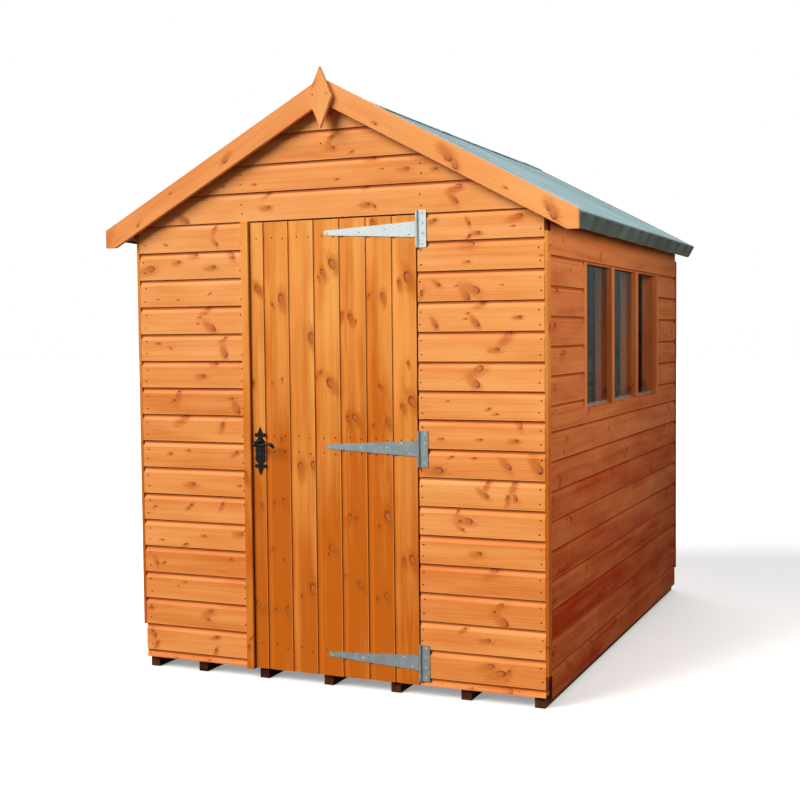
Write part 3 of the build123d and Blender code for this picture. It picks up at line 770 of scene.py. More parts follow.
def trimmed(section, low, high):
    """A section ripped down to the part between two places across it."""
    for limit, keep_above in ((low, True), (high, False)):
        if limit is None:
            continue
        kept = []
        for (v0, w0), (v1, w1) in zip(section, section[1:] + section[:1]):
            inside0 = v0 >= limit if keep_above else v0 <= limit
            inside1 = v1 >= limit if keep_above else v1 <= limit
            if inside0:
                kept.append((v0, w0))
            if inside0 != inside1:
                share = (limit - v0) / (v1 - v0)
                kept.append((limit, w0 + (w1 - w0) * share))
        section = kept
    return section


def with_break(section, level):
    """The same section with points where it crosses a level."""
    made = []
    for (v0, w0), (v1, w1) in zip(section, section[1:] + section[:1]):
        made.append((v0, w0))
        if (v0 - level) * (v1 - level) < 0:
            made.append((level, w0 + (w1 - w0) * (level - v0) / (v1 - v0)))
    return made


def laps(first, covers):
    """Heights of the laps, from the lowest upwards."""
    heights = [first]
    for cover in covers:
        heights.append(heights[-1] + cover)
    return heights


def placed_knots(marks, section, near, far, width):
    """Knots given as (share of the length, share of the width up from the lap, radius in mm, lean)."""
    middle = (min(v for v, _ in section) + max(v for v, _ in section)) / 2
    size = MARK_SCALE * MM
    return [(near + (far - near) * u, width * v - middle, radius * size, lean) for u, v, radius, lean in marks]


def lapped_section(low, high, bottom, top):
    """The section of the board whose laps are at two heights, ripped down where the wall begins and ends."""
    return trimmed(shiplap(high - low), max(0.0, bottom - low) or None, (top - low) if top < high + OVERLAP else None)


def wall_boards(stock, place_at, heights, start, finish, bottom, top, marks=(), steps=4, **scatter):
    """Boards lapped up a wall between two heights; place_at says where a height's board lies."""
    for number, (low, high) in enumerate(zip(heights, heights[1:])):
        section = lapped_section(low, high, bottom, top)
        if len(section) < 3:
            continue
        if number < len(marks):
            knots = placed_knots(marks[number], section, start, finish, high - low)
        else:
            knots = stock.scatter_knots(start, finish, high - low, **scatter)
        stock.lay(section, place_at(low), start, finish, steps, knots, lapped=1.0)


def wall_face(x, y, along, inward):
    """Where a board lies on a wall's face, for the height of its lap."""
    return lambda z: (Vector((x, y, z)), along, UP, inward)


front_place = wall_face(0, front, RIGHT, BACKWARD)
back_place = wall_face(0, back, -RIGHT, -BACKWARD)
right_place = wall_face(half_width, 0, BACKWARD, -RIGHT)
left_place = wall_face(-half_width, 0, -BACKWARD, RIGHT)

FIRST_LAP, SIDE_FIRST_LAP = 0.0764, 0.147  # heights of the lowest laps, front and back and at the sides
front_start, side_start = FIRST_LAP - COVER, SIDE_FIRST_LAP - COVER
head = gable_low.z
left_covers = [COVER] * 13 + [0.1135, 0.113, 0.1125]
right_covers = [COVER] * 8 + [0.110, 0.1135, 0.110, 0.111, 0.114, 0.1155, 0.1155, 0.1145]
left_laps, right_laps = ([*laps(front_start, covers), head + 0.004] for covers in (left_covers, right_covers))

left_knots = (
    ((0.3, 0.75, 4, 0.0), (0.62, 0.8, 5, 0.4)),
    ((0.7, 0.7, 7, 0.2), (0.69, 0.2, 7, 1.2), (0.08, 0.6, 9, -1.2), (0.1, 0.25, 7, 1.0)),
    ((0.64, 0.64, 10, 0.4), (0.62, 0.35, 7, -0.4), (0.05, 0.6, 6, 0.0)),
    ((0.4, 0.68, 4, 0.0), (0.33, 0.53, 2.5, 0.0)),
    ((0.85, 0.65, 5.5, 0.0), (0.12, 0.35, 8, -1.2), (0.19, 0.37, 5, 0.3)),
    ((0.6, 0.48, 5, 0.0), (0.95, 0.63, 9, 0.0), (0.18, 0.25, 3.5, 0.0), (0.41, 0.13, 6, 0.5)),
    ((0.11, 0.5, 4, 0.5), (0.44, 0.48, 3.5, 0.0), (0.47, 0.62, 6, 0.7), (0.775, 0.7, 7, 1.0)),
    ((0.49, 0.4, 9, 0.0), (0.95, 0.42, 4, 0.0)),
    ((0.28, 0.52, 5, 0.0), (0.46, 0.67, 4, 0.0), (0.92, 0.63, 7, 0.5)),
    ((0.42, 0.9, 12, 0.5), (0.79, 0.65, 8, 1.2)),
    ((0.36, 0.77, 10, 1.2), (0.32, 0.53, 5, 0.4), (0.885, 0.62, 5, 0.0), (0.94, 0.2, 11, -1.2)),
    ((0.61, 0.45, 8, 0.0), (0.73, 0.88, 7, 0.0)),
    ((0.18, 0.66, 4.5, 0.0), (0.3, 0.48, 3.5, -0.5), (0.83, 0.25, 11, -1.3), (0.82, 0.82, 7, 0.5)),
    ((0.59, 0.61, 3.5, 0.0), (0.71, 0.2, 12, -0.7), (0.66, 0.9, 9, 0.6), (0.57, 0.38, 2.5, 0.0)),
    ((0.69, 0.46, 3, 0.5), (0.18, 0.29, 2.5, 0.0), (0.38, 0.26, 2.5, 0.0)),
    ((0.11, 0.42, 14, 0.1), (0.39, 0.64, 7, 0.0), (0.55, 0.87, 8, 0.0), (0.725, 0.41, 9, 0.0), (0.91, 0.79, 9, -0.9)),
    ((0.745, 0.79, 7, 1.0), (0.76, 0.24, 7, -0.9), (0.27, 0.28, 4, -0.4)),
)

right_knots = (
    ((0.42, 0.8, 4, 0.0), (0.72, 0.85, 9, -0.7)),
    ((0.57, 0.62, 11, 0.1), (0.65, 0.4, 14, 0.1), (0.71, 0.45, 9, 1.0)),
    ((0.36, 0.82, 6, 0.5), (0.55, 0.5, 8, 0.0)),
    ((0.65, 0.72, 10, 0.6), (0.6, 0.5, 5, 0.4), (0.68, 0.15, 14, -0.8)),
    ((0.6, 0.9, 12, 0.6),),
    ((0.48, 0.45, 9, 0.0),),
    ((0.4, 0.55, 12, -0.2), (0.33, 0.52, 6, 0.3), (0.35, 0.25, 6, -0.5), (0.31, 0.85, 6, 1.2)),
    ((0.54, 0.45, 9, -0.7), (0.55, 0.85, 8, 1.0), (0.71, 0.38, 8, 1.3), (0.77, 0.4, 9, -0.9), (0.76, 0.85, 9, 1.1)),
    ((0.16, 0.25, 14, 0.0), (0.27, 0.75, 4, 0.3), (0.45, 0.72, 4, 0.0), (0.72, 0.45, 10, -0.9), (0.96, 0.4, 14, -1.1)),
    ((0.19, 0.35, 4, 0.0), (0.5, 0.35, 4, 0.0), (0.78, 0.33, 7, 0.0), (0.81, 0.85, 9, -1.2)),
    ((0.24, 0.65, 2.5, 0.0), (0.57, 0.4, 4, 0.3), (0.63, 0.22, 4, 0.0)),
    ((0.49, 0.75, 14, 0.4), (0.47, 0.25, 13, -0.9)),
    ((0.63, 0.4, 8, 0.0), (0.72, 0.9, 12, 0.8)),
    (
        (0.15, 0.2, 8, -1.1), (0.48, 0.25, 9, -0.9), (0.81, 0.45, 6, 0.0), (0.39, 0.42, 3, 0.0), (0.41, 0.6, 3, 0.0),
        (0.52, 0.92, 8, 0.4),
    ),
    (
        (0.47, 0.35, 13, -0.5), (0.4, 0.15, 12, -1.2), (0.32, 0.5, 3, 0.0), (0.03, 0.3, 7, 1.2),
        (0.17, 0.55, 7, -0.7), (0.68, 0.5, 2.5, 0.0),
    ),
    ((0.43, 0.85, 11, 0.0), (0.41, 0.28, 5, 0.0), (0.98, 0.4, 3, 0.0)),
    (
        (0.42, 0.55, 6, -1.2), (0.49, 0.22, 7, 0.0), (0.42, 0.12, 6, 0.8), (0.81, 0.72, 10, 0.2), (0.77, 0.4, 3, 0.0),
        (0.14, 0.7, 7, 0.3),
    ),
)
for side, heights, low, high, marks in (
    ("left", left_laps, left_low, left_high, left_knots),
    ("right", right_laps, right_low, right_high, right_knots),
):
    stock = Stock(f"front boards {side} of the door")
    wall_boards(stock, front_place, heights, low.x + JOINT, high.x - JOINT, low.z, head, marks)
    stock.show(f"front_boards_{side}", front_stain, f"front_wall_{side}")


def gable_boards(stock, place_at, heights, reach, bottom, marks=()):
    """Boards of a gable, cut to the slope of the roof at both ends."""
    peak = ridge_underside - 0.004
    for number, (low, high) in enumerate(zip(heights, heights[1:])):
        if low >= peak:
            break
        section = lapped_section(low, high, bottom, peak)
        corner = eaves_underside - low
        if 0 < corner < high - low + OVERLAP:
            section = with_break(section, corner)
        far = lambda v, w: min(reach, (ridge_underside - low - v) / roof_fall - 0.0005)
        near = lambda v, w: -far(v, w)
        knots = placed_knots(marks[number], section, 0, 1, high - low) if number < len(marks) else None
        stock.lay(section, place_at(low), near, far, 8, knots, lapped=1.0)


gable_knots = (
    (
        (-0.65, 0.12, 10, -0.7), (-0.265, 0.45, 8, 0.0), (-0.265, 0.93, 7, 0.5), (0.175, 0.38, 8, 0.0),
        (0.205, 0.3, 5, -0.9), (0.17, 0.97, 6, 0.0), (0.55, 0.8, 11, 0.3), (0.54, 0.35, 9, -0.9),
    ),
    (
        (-0.47, 0.28, 4, 0.0), (-0.325, 0.28, 4, 0.0), (0.045, 0.28, 4, 0.0), (0.2, 0.95, 9, 0.0), (0.24, 0.55, 3, 0.0),
        (0.34, 0.5, 8, 0.0), (0.46, 0.43, 5, 0.0),
    ),
    ((0.02, 0.72, 8, 0.7), (0.026, 0.38, 8, 0.0), (0.11, 0.2, 4, 0.3)),
    ((-0.12, 0.5, 5, 0.0),),
)
stock = Stock("gable boards")
gable_covers = [0.117, 0.111, 0.117, 0.112, 0.112]
gable_boards(stock, front_place, laps(head, gable_covers), panel_half_width - JOINT, head, gable_knots)
stock.show("gable_boards", front_stain, "front_gable")

stock = Stock("back boards")
back_laps = laps(front_start, [COVER] * 22)
gable_boards(stock, back_place, back_laps, panel_half_width - JOINT, back_low.z)
stock.show("back_boards", front_stain, "back_wall")

SIDE_SPREAD = 0.06  # side boards took the stain more evenly
AT_CORNER = 1.1  # a part that reaches farther than this ends at a corner of the shed
side_covers = [COVER] * 8 + [0.098, 0.111, 0.111, 0.112, 0.113, 0.113, 0.205]
side_laps = laps(side_start, [COVER, *side_covers])
stock = Stock("right side boards", SIDE_SPREAD)
right_parts = [
    (Stock(name), name, node, *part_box(node))
    for name, node in (
        ("boards_under_window", "right_wall_lower"),
        ("boards_before_window", "right_wall_front"),
        ("boards_behind_window", "right_wall_back"),
        ("board_over_window", "right_wall_top"),
    )
]
for low, high in zip(side_laps, side_laps[1:]):
    width = high - low
    nature = stock.nature(width)
    knots = stock.scatter_knots(side_low.y, side_high.y, width, 2.4, 8.0)
    for part, name, node, part_low, part_high in right_parts:
        over_window = node == "right_wall_top"
        bottom = max(0.0, part_low.z - low)
        top = (eaves_underside if over_window else part_high.z) - low
        if bottom >= width or top <= 0.001:
            continue
        if not over_window and top > width:
            top = width + OVERLAP
        section = trimmed(shiplap(width), bottom or None, min(top, width + OVERLAP))
        near = part_low.y + (JOINT if part_low.y < -AT_CORNER else 0.0)
        far = part_high.y - (JOINT if part_high.y > AT_CORNER else 0.0)
        steps = 8 if part_high.y - part_low.y > 1 else 2
        part.lay(section, right_place(low), near, far, steps, knots, None, nature, lapped=1.0)
for part, name, node, _, _ in right_parts:
    part.show(name, shaded_side_stain, node)

stock = Stock("left side boards", SIDE_SPREAD)
left_side_laps = laps(side_start, [COVER] * 17)
wall_boards(
    stock, left_place, left_side_laps, JOINT - west_high.y, -west_low.y - JOINT, west_low.z, eaves_underside,
    steps=8, per_metre=2.6, largest=9.0,
)
stock.show("left_side_boards", shaded_side_stain, "left_wall")

# ---------------------------------------------------------------- door boards
DOOR_SEAMS = (-0.293, -0.180, -0.067, 0.046, 0.160, 0.271)
stock = Stock("door boards")
edges = [door_low.x, *DOOR_SEAMS, door_high.x]
door_tones = (0.02, 0.1, -0.12, -0.04, 0.0, 0.1, -0.1)
door_knots = (
    ((1.60, 0.0, 10, 0.6), (1.22, -0.4, 5, 0.0), (0.72, 0.1, 6, 0.2), (0.31, -0.3, 9, 0.4), (0.30, 0.42, 7, -0.5)),
    (
        (1.56, 0.2, 12, 0.1), (1.535, -0.15, 4, 0.4), (1.22, -0.2, 3, 0.0), (1.235, 0.2, 3, 0.0),
        (0.99, 0.15, 6, 0.0), (0.73, -0.18, 6, -0.3), (0.74, 0.22, 8, 0.1), (0.54, -0.3, 7, -0.7),
        (0.50, 0.2, 4, 0.5), (0.29, -0.2, 8, -0.7), (0.295, 0.3, 9, 0.0),
    ),
    ((1.40, 0.4, 14, 0.3), (0.885, -0.1, 11, 0.0), (0.89, 0.42, 11, 0.3), (0.39, 0.35, 15, 0.3), (0.36, -0.12, 4, 0.0)),
    (
        (1.66, -0.15, 8, 0.3), (1.69, 0.25, 14, 0.6), (1.64, -0.32, 4, 0.3), (1.22, 0.1, 12, 0.6),
        (1.26, -0.3, 7, -0.8), (0.56, 0.1, 10, 0.7), (0.535, -0.02, 4, 0.0),
    ),
    (
        (1.48, -0.1, 8, 0.3), (1.49, -0.42, 8, -0.5), (1.465, 0.12, 3, 0.0), (1.08, -0.2, 8, 0.2),
        (1.085, 0.05, 10, 0.5), (0.69, -0.2, 9, -0.5), (0.685, 0.05, 6, -0.3), (0.42, 0.18, 9, 0.7),
        (0.45, -0.4, 7, -0.9),
    ),
    (
        (1.565, -0.38, 4, -0.6), (1.56, 0.15, 8, 0.1), (1.84, -0.2, 10, 0.2), (1.21, 0.02, 5, 0.5),
        (1.07, 0.3, 8, 0.4), (1.055, -0.25, 6, -0.7), (0.70, 0.28, 13, 0.3), (0.66, -0.05, 4, 0.0),
        (0.385, 0.2, 8, 0.2), (0.37, -0.15, 5, 0.0),
    ),
    (
        (1.63, 0.15, 14, 0.4), (1.61, -0.2, 7, 0.1), (1.30, 0.15, 4, 0.1), (1.15, 0.3, 14, 0.5), (1.13, -0.1, 7, 0.3),
        (0.535, 0.25, 12, 0.3), (0.53, -0.1, 7, 0.0),
    ),
)
DOOR_TONGUE = 0.0044
for number, (west, east) in enumerate(zip(edges, edges[1:])):
    width = east - west
    ripped = 0.008 if number == len(edges) - 2 else 0.0
    cover = COVER if number == 0 else width + ripped
    section = trimmed(shiplap(cover, DOOR_TONGUE), ripped or None, width if number == 0 else None)
    place = Vector((east + ripped, front, 0)), UP, -RIGHT, BACKWARD
    width_middle = (max(v for v, _ in section) + min(v for v, _ in section)) / 2
    face_middle = width / 2 + ripped - width_middle
    knots = [(z, face_middle - share * width, radius * MM, lean) for z, share, radius, lean in door_knots[number]]
    stock.lay(section, place, door_low.z, door_high.z, 8, knots, door_tones[number], wave_mm=0.25, lapped=1.0)
stock.show("door_boards", door_stain, "door_leaf", body="door")

# ---------------------------------------------------------------- framing, floor, trims
FRAMING = "stained_framing"
panels = [f"{wall}_{piece}" for wall in ("front", "back", "left", "right") for piece in ("studs", "rails")]
for node in (*panels, "gable_rafters"):
    dressed(node, frame_stain, slot=FRAMING)
dressed("roof_rails", frame_stain, slot=FRAMING, along=BACKWARD)
dressed("door_ledges", door_stain, slot=FRAMING, body="door", along=RIGHT)
dressed("door_braces", door_stain, slot=FRAMING, body="door")
dressed("floor_bearers", dark_bearer, "bearers_timber", "treated_bearer", along=BACKWARD, arris_mm=0.8)
dressed("door_post", door_stain, "door_jamb_timber", along=UP, tone=-0.12, per_metre=1.5)
front_trims, back_trims = Stock("front corner trims"), Stock("back corner trims")
for part in solids("corner_trims"):
    in_front = min(v.co.y for v in part.verts) < 0
    # The back corner trims are darkened by a tone of 0.45: painted shade.
    (front_trims if in_front else back_trims).dress(part, along=UP, tone=0.0 if in_front else 0.45)
front_trims.show("front_corner_trims", corner_stain, "corner_trims")
back_trims.show("back_corner_trims", shaded_side_stain)
dressed("window_posts", shaded_side_stain, along=UP)
dressed("window_sills", shaded_side_stain, along=BACKWARD)

# knots along a bargeboard: (place from its middle, share of its width, radius in mm, lean)
barge_knots = {
    "right": (
        (-0.09, 0.05, 12, 0.3), (-0.05, 0.25, 9, 0.6), (0.17, 0.1, 3, 0.0),
        (0.38, 0.2, 11, 0.6), (0.35, 0.05, 7, 0.6), (-0.42, 0.2, 4, 0.0),
    ),
    "left": ((-0.19, 0.05, 8, 0.3), (0.5, 0.1, 16, 0.4), (0.1, -0.2, 3, 0.0), (0.3, 0.2, 4, 0.4)),
}
for side, run, tone in (("right", 1, -0.06), ("left", -1, 0.14)):
    along = Vector((run * math.cos(pitch), 0, -math.sin(pitch)))
    dressed(f"bargeboard_{side}", trim_stain, along=along, arris_mm=2.0, tone=tone, marks=barge_knots[side])

NAIL_ROOM = 0.0007  # the finial's face lies back by this, so that its nails stay within its own depth
finial_low, finial_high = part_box("finial")
stock = Stock("finial_timber")
for part in solids("finial"):
    for v in part.verts:
        v.co.y = max(v.co.y, finial_low.y + NAIL_ROOM)
    stock.dress(part, along=UP, arris_mm=1.5, per_metre=0.5)
stock.show("finial_timber", trim_stain, "finial")


def boarding(stock, low, high, spare, eased, thickness, place_at, start, finish, steps):
    """Square boards side by side from front to back; eased is the start of each board's face."""
    while low < high - spare:
        width = min(COVER, high - low)
        near_edge = [(eased[0][0], thickness), *eased]
        far_edge = [(width - v, w) for v, w in reversed(near_edge)]
        stock.lay(near_edge + far_edge, place_at(low), start, finish, steps, wave_mm=0.0)
        low += width


floor_low, floor_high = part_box("floor_boards")
stock = Stock("floor boards")
floor_place = lambda y: (Vector((0, y, floor_high.z)), RIGHT, BACKWARD, -UP)
floor_thickness = floor_high.z - floor_low.z
floor_edge = ((0.0005, 0.001), (0.0015, 0.0))
boarding(stock, floor_low.y, floor_high.y, 0.02, floor_edge, floor_thickness, floor_place, floor_low.x, floor_high.x, 6)
stock.show("floor_boarding", bare_board, "floor_boards", slot="bare_board")

felt_low, felt_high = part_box("roof_felt_right")


def ridge_sag(x, y):
    """How far the felt sits under the sharp ridge line: rounded over it, and a little slack between the ends."""
    along = (y - felt_low.y) / (felt_high.y - felt_low.y)
    slack = 0.016 * math.sin(math.pi * min(1.0, max(0.0, along))) ** 0.7
    rounding = 0.024 + slack + 0.012 * along
    return roof_fall * (math.sqrt(x * x + rounding * rounding) - abs(x))


def slope_lines(side):
    """Down a roof slope, and square out of it."""
    across, fall = math.cos(pitch), math.sin(pitch)
    return Vector((side * across, 0, -fall)), Vector((side * fall, 0, across))


roof_low, roof_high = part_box("roof_boards_right")
ROOF_BOARD = 0.012
roof_length = (roof_high.x - ROOF_BOARD * math.sin(pitch)) / math.cos(pitch)
ridge_cut = lambda v, w: -w * roof_fall + 0.0003
roof_edge = ((0.0003, 0.002), (0.002, 0.0))
for side, node in ((1, "roof_boards_right"), (-1, "roof_boards_left")):
    stock = Stock(node)
    down, above = slope_lines(side)
    slope_place = lambda y: (Vector((0, y, ridge_underside)), down, BACKWARD, above)
    boarding(stock, roof_low.y, roof_high.y, 0.005, roof_edge, ROOF_BOARD, slope_place, ridge_cut, roof_length, 12)
    for point in stock.points:
        point.z -= ridge_sag(abs(point.x), point.y)
    stock.show(f"{node}_boarding", bare_board, node, slot="bare_board")

# ---------------------------------------------------------------- roof felt
FELT = 0.0028
ABOVE_RIDGE = (ROOF_BOARD + FELT) / math.cos(pitch)
BREADTHS = 150  # how many breadths the felt has from front to back


def spread_out(low, high):
    return [low + (high - low) * n / BREADTHS for n in range(BREADTHS + 1)]


def sheet(name, node, rows, thickness=FELT):
    """Felt as a closed sheet from rows of (point, outward direction, turned share, share of painted shade at the
    nails).
    """
    points, shares, faces = [], [], []
    for layer in (0.0, thickness):
        for row in rows:
            for point, outward, turned, nail_shade in row:
                points.append(point - outward * layer)
                shares.append((turned, nail_shade, 0.0))
    deep, wide = len(rows), len(rows[0])
    back = deep * wide
    for i in range(deep - 1):
        for a in range(i * wide, i * wide + wide - 1):
            faces.append((a, a + 1, a + wide + 1, a + wide))
            faces.append((back + a, back + a + wide, back + a + wide + 1, back + a + 1))
    border = [*range(wide), *range(2 * wide - 1, back, wide)]
    border += [*range(back - 2, back - wide - 1, -1), *range(back - 2 * wide, 0, -wide)]
    for a, b in zip(border, border[1:] + border[:1]):
        faces.append((a, b, back + b, back + a))
    mesh = new_mesh(name, points, faces)
    note(mesh, "turned", "POINT", shares)
    show(smoothed(mesh, 60, 1.0), mineral_felt, "roofing_felt", node)


verge_low, verge_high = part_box("rear_verge_boards")
verge_depth = (ROOF_BOARD + FELT + 0.045) / math.cos(pitch)
crest = ridge_underside + ABOVE_RIDGE - 0.0012
stations = [0.0005, *(0.03 * n for n in range(1, 11)), 0.45, 0.7, felt_high.x - 0.001]
upper_edge = [(x, crest - x * roof_fall - ridge_sag(x, felt_high.y)) for x in stations]
end_x, end_z = upper_edge[-1]
foot = (end_x - verge_depth * math.cos(pitch) * math.sin(pitch), end_z - verge_depth * math.cos(pitch) ** 2)
profile = [*upper_edge, foot, (0.0005, crest - verge_depth)]
stock = Stock("rear verge boards")
for side in (1, -1):
    part = bmesh.new()
    loft(part, [[(side * x, y, z) for x, z in profile] for y in (verge_low.y + 0.0004, verge_high.y)])
    bmesh.ops.recalc_face_normals(part, faces=part.faces)
    stock.dress(part, along=slope_lines(side)[0])
stock.show("rear_verge_timber", shaded_side_stain, "rear_verge_boards")

TURN_DOWN = 0.0575
clout_draw = random.Random("clouts along the eaves")
clouts = []
y = felt_low.y + 0.03
while y < felt_high.y - 0.02:
    clouts.append(y)
    y += clout_draw.uniform(0.17, 0.235)
clouts.append(felt_high.y - 0.02)


def pinch(y):
    """1 at a nail along the eaves, falling to 0 a hand's width away."""
    return math.exp(-((min(abs(y - nail) for nail in clouts) / 0.042) ** 2))


def pucker(y, down, seed):
    """How far the turned-down felt stands off its rail: pulled in at every nail, slack between them."""
    slack = 1 - pinch(y)
    fold = noise.noise(Vector((y * 22, seed, down * 10)))
    lift = 0.0034 + 0.002 * noise.noise(Vector((y * 9, seed, 3.0))) + fold * 0.0012
    return slack * lift * (0.4 + 0.6 * down)


def felt_slope(side, name, node):
    """One side of the roof: down the slope, round the edge of the boards and down over the eaves rail."""
    seed, bend, steps = 4.0 + side, 0.006, 6
    down, above = slope_lines(side)
    ridge = Vector((0, 0, ridge_underside))
    ys = spread_out(felt_low.y, felt_high.y)
    ripple = lambda *place: noise.noise(Vector(place))
    rows = []
    run_marks = [0.0, 0.012, 0.025, 0.045, *(0.08 + 0.06 * n for n in range(17))]
    run_marks += [roof_length - 0.03, roof_length - 0.012]
    for mark in run_marks:
        row = []
        for y in ys:
            wave = 0.0007 * ripple(y * 7, mark * 1.5, seed) + 0.0006 * ripple(y * 2, mark * 3, seed + 5)
            dent = 0.0032 * max(0.0, 1 - (roof_length - mark) / 0.06) * pinch(y)
            run = mark - ROOF_BOARD * roof_fall * (1 - min(1.0, mark / 0.08))
            point = ridge + down * run + above * (ROOF_BOARD + FELT + wave - dent)
            point.y = y
            if mark == 0.0:
                point.x = side * 0.0004
            point.z -= ridge_sag(abs(point.x), y)
            row.append((point, above, 0.0, 0.0))
        rows.append(row)
    for step in range(1, steps + 1):
        angle = math.pi / 2 * step / steps
        outward = above * math.cos(angle) + down * math.sin(angle)
        centre = ridge + down * (roof_length - bend) + above * (ROOF_BOARD - bend)
        row = []
        for y in ys:
            point = centre + outward * (bend + FELT + pucker(y, 0.1, seed) * math.sin(angle))
            point.y = y
            row.append((point, outward, step / steps, pinch(y) * step / steps))
        rows.append(row)
    for step in range(1, 8):
        share = step / 7
        row = []
        for y in ys:
            hem = 0.003 * ripple(y * 5, seed, 8.0) if share == 1.0 else 0.0
            reach = roof_length + FELT + pucker(y, share, seed)
            point = ridge + down * reach + above * (ROOF_BOARD - bend - TURN_DOWN * share + hem)
            point.y = y
            row.append((point, down, 1.0, pinch(y) * (1 - 0.8 * share)))
        rows.append(row)
    sheet(name, node, rows)


felt_slope(1, "felt_sheet_right", "roof_felt_right")
felt_slope(-1, "felt_sheet_left", "roof_felt_left")


def on_roof(x, y, lift):
    """A point over the boards at a place on the plan."""
    x_lift = ridge_underside - abs(x) * roof_fall + (ROOF_BOARD + FELT + lift) / math.cos(pitch)
    return Vector((x, y, x_lift - ridge_sag(abs(x), y)))


strip_low, strip_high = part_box("ridge_strip")
rows = []
strip_marks = (-1.0, -0.93, -0.8, -0.6, -0.4, -0.25, -0.14, -0.07, -0.03, 0.0)
for mark in (*strip_marks, *(-m for m in reversed(strip_marks[:-1]))):
    side = -1 if mark < 0 else 1
    outward = slope_lines(side)[1] if abs(mark) > 0.1 else UP
    row = []
    for y in spread_out(strip_low.y, strip_high.y):
        wave = noise.noise(Vector((y * 6, side * 3.0, 1.0)))
        lift = (0.0006 + 0.005 * max(0.0, wave)) * max(0.0, abs(mark) - 0.7) / 0.3
        row.append((on_roof(mark * strip_high.x, y, 0.0003) + outward * (0.0026 + lift), outward, 0.0, 0.0))
    rows.append(row)
sheet("ridge_capping", "ridge_strip", rows, 0.0024)

nails = Fixings("clout nails")
for side in (1, -1):
    down, above = slope_lines(side)
    for y in clouts:
        height = ROOF_BOARD - 0.03 + nails.draw.uniform(-0.004, 0.004)
        place = Vector((0, y, ridge_underside)) + down * (roof_length + FELT + 0.0002) + above * height
        nails.head(place, down, 0.0042, 0.0012, 12)
    y = felt_low.y + 0.05
    while y < felt_high.y - 0.02:
        nails.head(on_roof(side * (strip_high.x - 0.014), y, 0.004), above, 0.004, 0.001, 12)
        y += nails.draw.uniform(0.17, 0.23)
nails.show("felt_clouts", clout_steel)

# ---------------------------------------------------------------- nails in the boards
NAIL_RADIUS, NAIL_RISE = 0.0031, 0.0006
PANEL_TOP = 1.85  # no nails higher than this in the side and back walls
body_nails = Fixings("wall nails")
door_nails = Fixings("door nails")


def board_nails(place_at, heights, columns, bottom, top, offsets=((0.078, 0.006), (0.028, 0.006))):
    """Nails in every board at each column; an offset is (height over the lap, how far it strays)."""
    draw = body_nails.draw
    for low, high in zip(heights, heights[1:]):
        for column in columns:
            for offset, spread in offsets:
                z = low + offset + draw.uniform(-spread, spread)
                u = column + draw.uniform(-0.006, 0.006)
                if bottom + 0.006 < z < min(top, high) - 0.004:
                    origin, along, across, inward = place_at(low)
                    body_nails.head(origin + along * u + across * (z - low), -inward, NAIL_RADIUS, NAIL_RISE)


def stud_columns(node):
    return [(low.y + high.y) / 2 for low, high in solid_boxes(node)]


board_nails(front_place, left_laps, (left_low.x + 0.026, left_high.x - 0.007), left_low.z, head)
board_nails(front_place, right_laps, (right_low.x + 0.014, right_high.x - 0.018), right_low.z, head)
gable_laps = laps(head, gable_covers[:2])
board_nails(front_place, gable_laps, (-0.391, 0.395), head, 2.2, ((0.07, 0.004), (0.033, 0.004)))
board_nails(front_place, laps(gable_laps[-1], [0.117, 0.112]), (-0.02, 0.02), head, 2.3, ((0.06, 0.004),))
for u in (-0.87, -0.66, -0.6, -0.47, 0.47, 0.62, 0.78):
    body_nails.head(Vector((u, front + 0.0045, 0.058)), -BACKWARD, 0.003, NAIL_RISE)
back_columns = [-(low.x + high.x) / 2 for low, high in solid_boxes("back_studs")]
board_nails(back_place, back_laps[:17], back_columns, back_low.z, PANEL_TOP)
side_columns = sorted({round(y, 4) for y in stud_columns("right_studs")})
for heights, columns, low, high in (
    (side_laps[:10], side_columns, side_low, side_high),
    (side_laps[9:16], (side_columns[0] + 0.03, near_high.y - 0.035), near_low, near_high),
    (side_laps[9:16], (far_low.y + 0.035, side_columns[-1] - 0.03), far_low, far_high),
):
    board_nails(right_place, heights, columns, low.z, high.z)
board_nails(right_place, side_laps[-2:], side_columns, top_low.z, PANEL_TOP, ((0.04, 0.006), (0.12, 0.01)))
board_nails(left_place, left_side_laps, [-y for y in stud_columns("left_studs")], west_low.z, PANEL_TOP)
for share in (0.2, 0.78):
    x = finial_low.x + (finial_high.x - finial_low.x) * share
    place = Vector((x, finial_low.y + NAIL_ROOM, 0.55 * finial_high.z + 0.45 * finial_low.z))
    body_nails.head(place, -BACKWARD, 0.003, NAIL_RISE)
body_nails.show("wall_nails", nail_steel)

# each row of nails into a ledge is (height left of a board's middle, height right of it)
door_rows = ((1.806, 1.798), (1.004, 1.001), (0.942, 0.939), (0.149, 0.136))
for west, east in zip(edges, edges[1:]):
    width = east - west
    spots = (0.5,) if width < 0.07 else (0.36, 0.8)
    for rows in door_rows:
        for spot, row in zip(spots, rows):
            z = row + door_nails.draw.uniform(-0.004, 0.004)
            door_nails.head(Vector((west + width * spot, front, z)), -BACKWARD, NAIL_RADIUS, NAIL_RISE)
door_nails.show("door_nails", nail_steel, "door")

# ---------------------------------------------------------------- T-hinges
def flat_plate(outline, y_back, y_front, arris, whole=None):
    """A plate cut to an outline in X and Z, its outer arris eased."""
    plate = whole or bmesh.new()
    lid = loft(plate, [[(x, y, z) for x, z in outline] for y in (y_back, y_front)])
    bmesh.ops.bevel(plate, geom=list(lid.edges), offset=arris, segments=2, profile=0.6, affect="EDGES")
    return plate


def arc(x, z, radius, steps, begin=0, end=360, tall=None):
    """Points in X and Z from one angle to another in degrees; a whole round comes without its last point."""
    turns = [math.radians(begin + (end - begin) * n / steps) for n in range(steps + (end - begin < 360))]
    return [(x + radius * math.cos(turn), z + (tall or radius) * math.sin(turn)) for turn in turns]


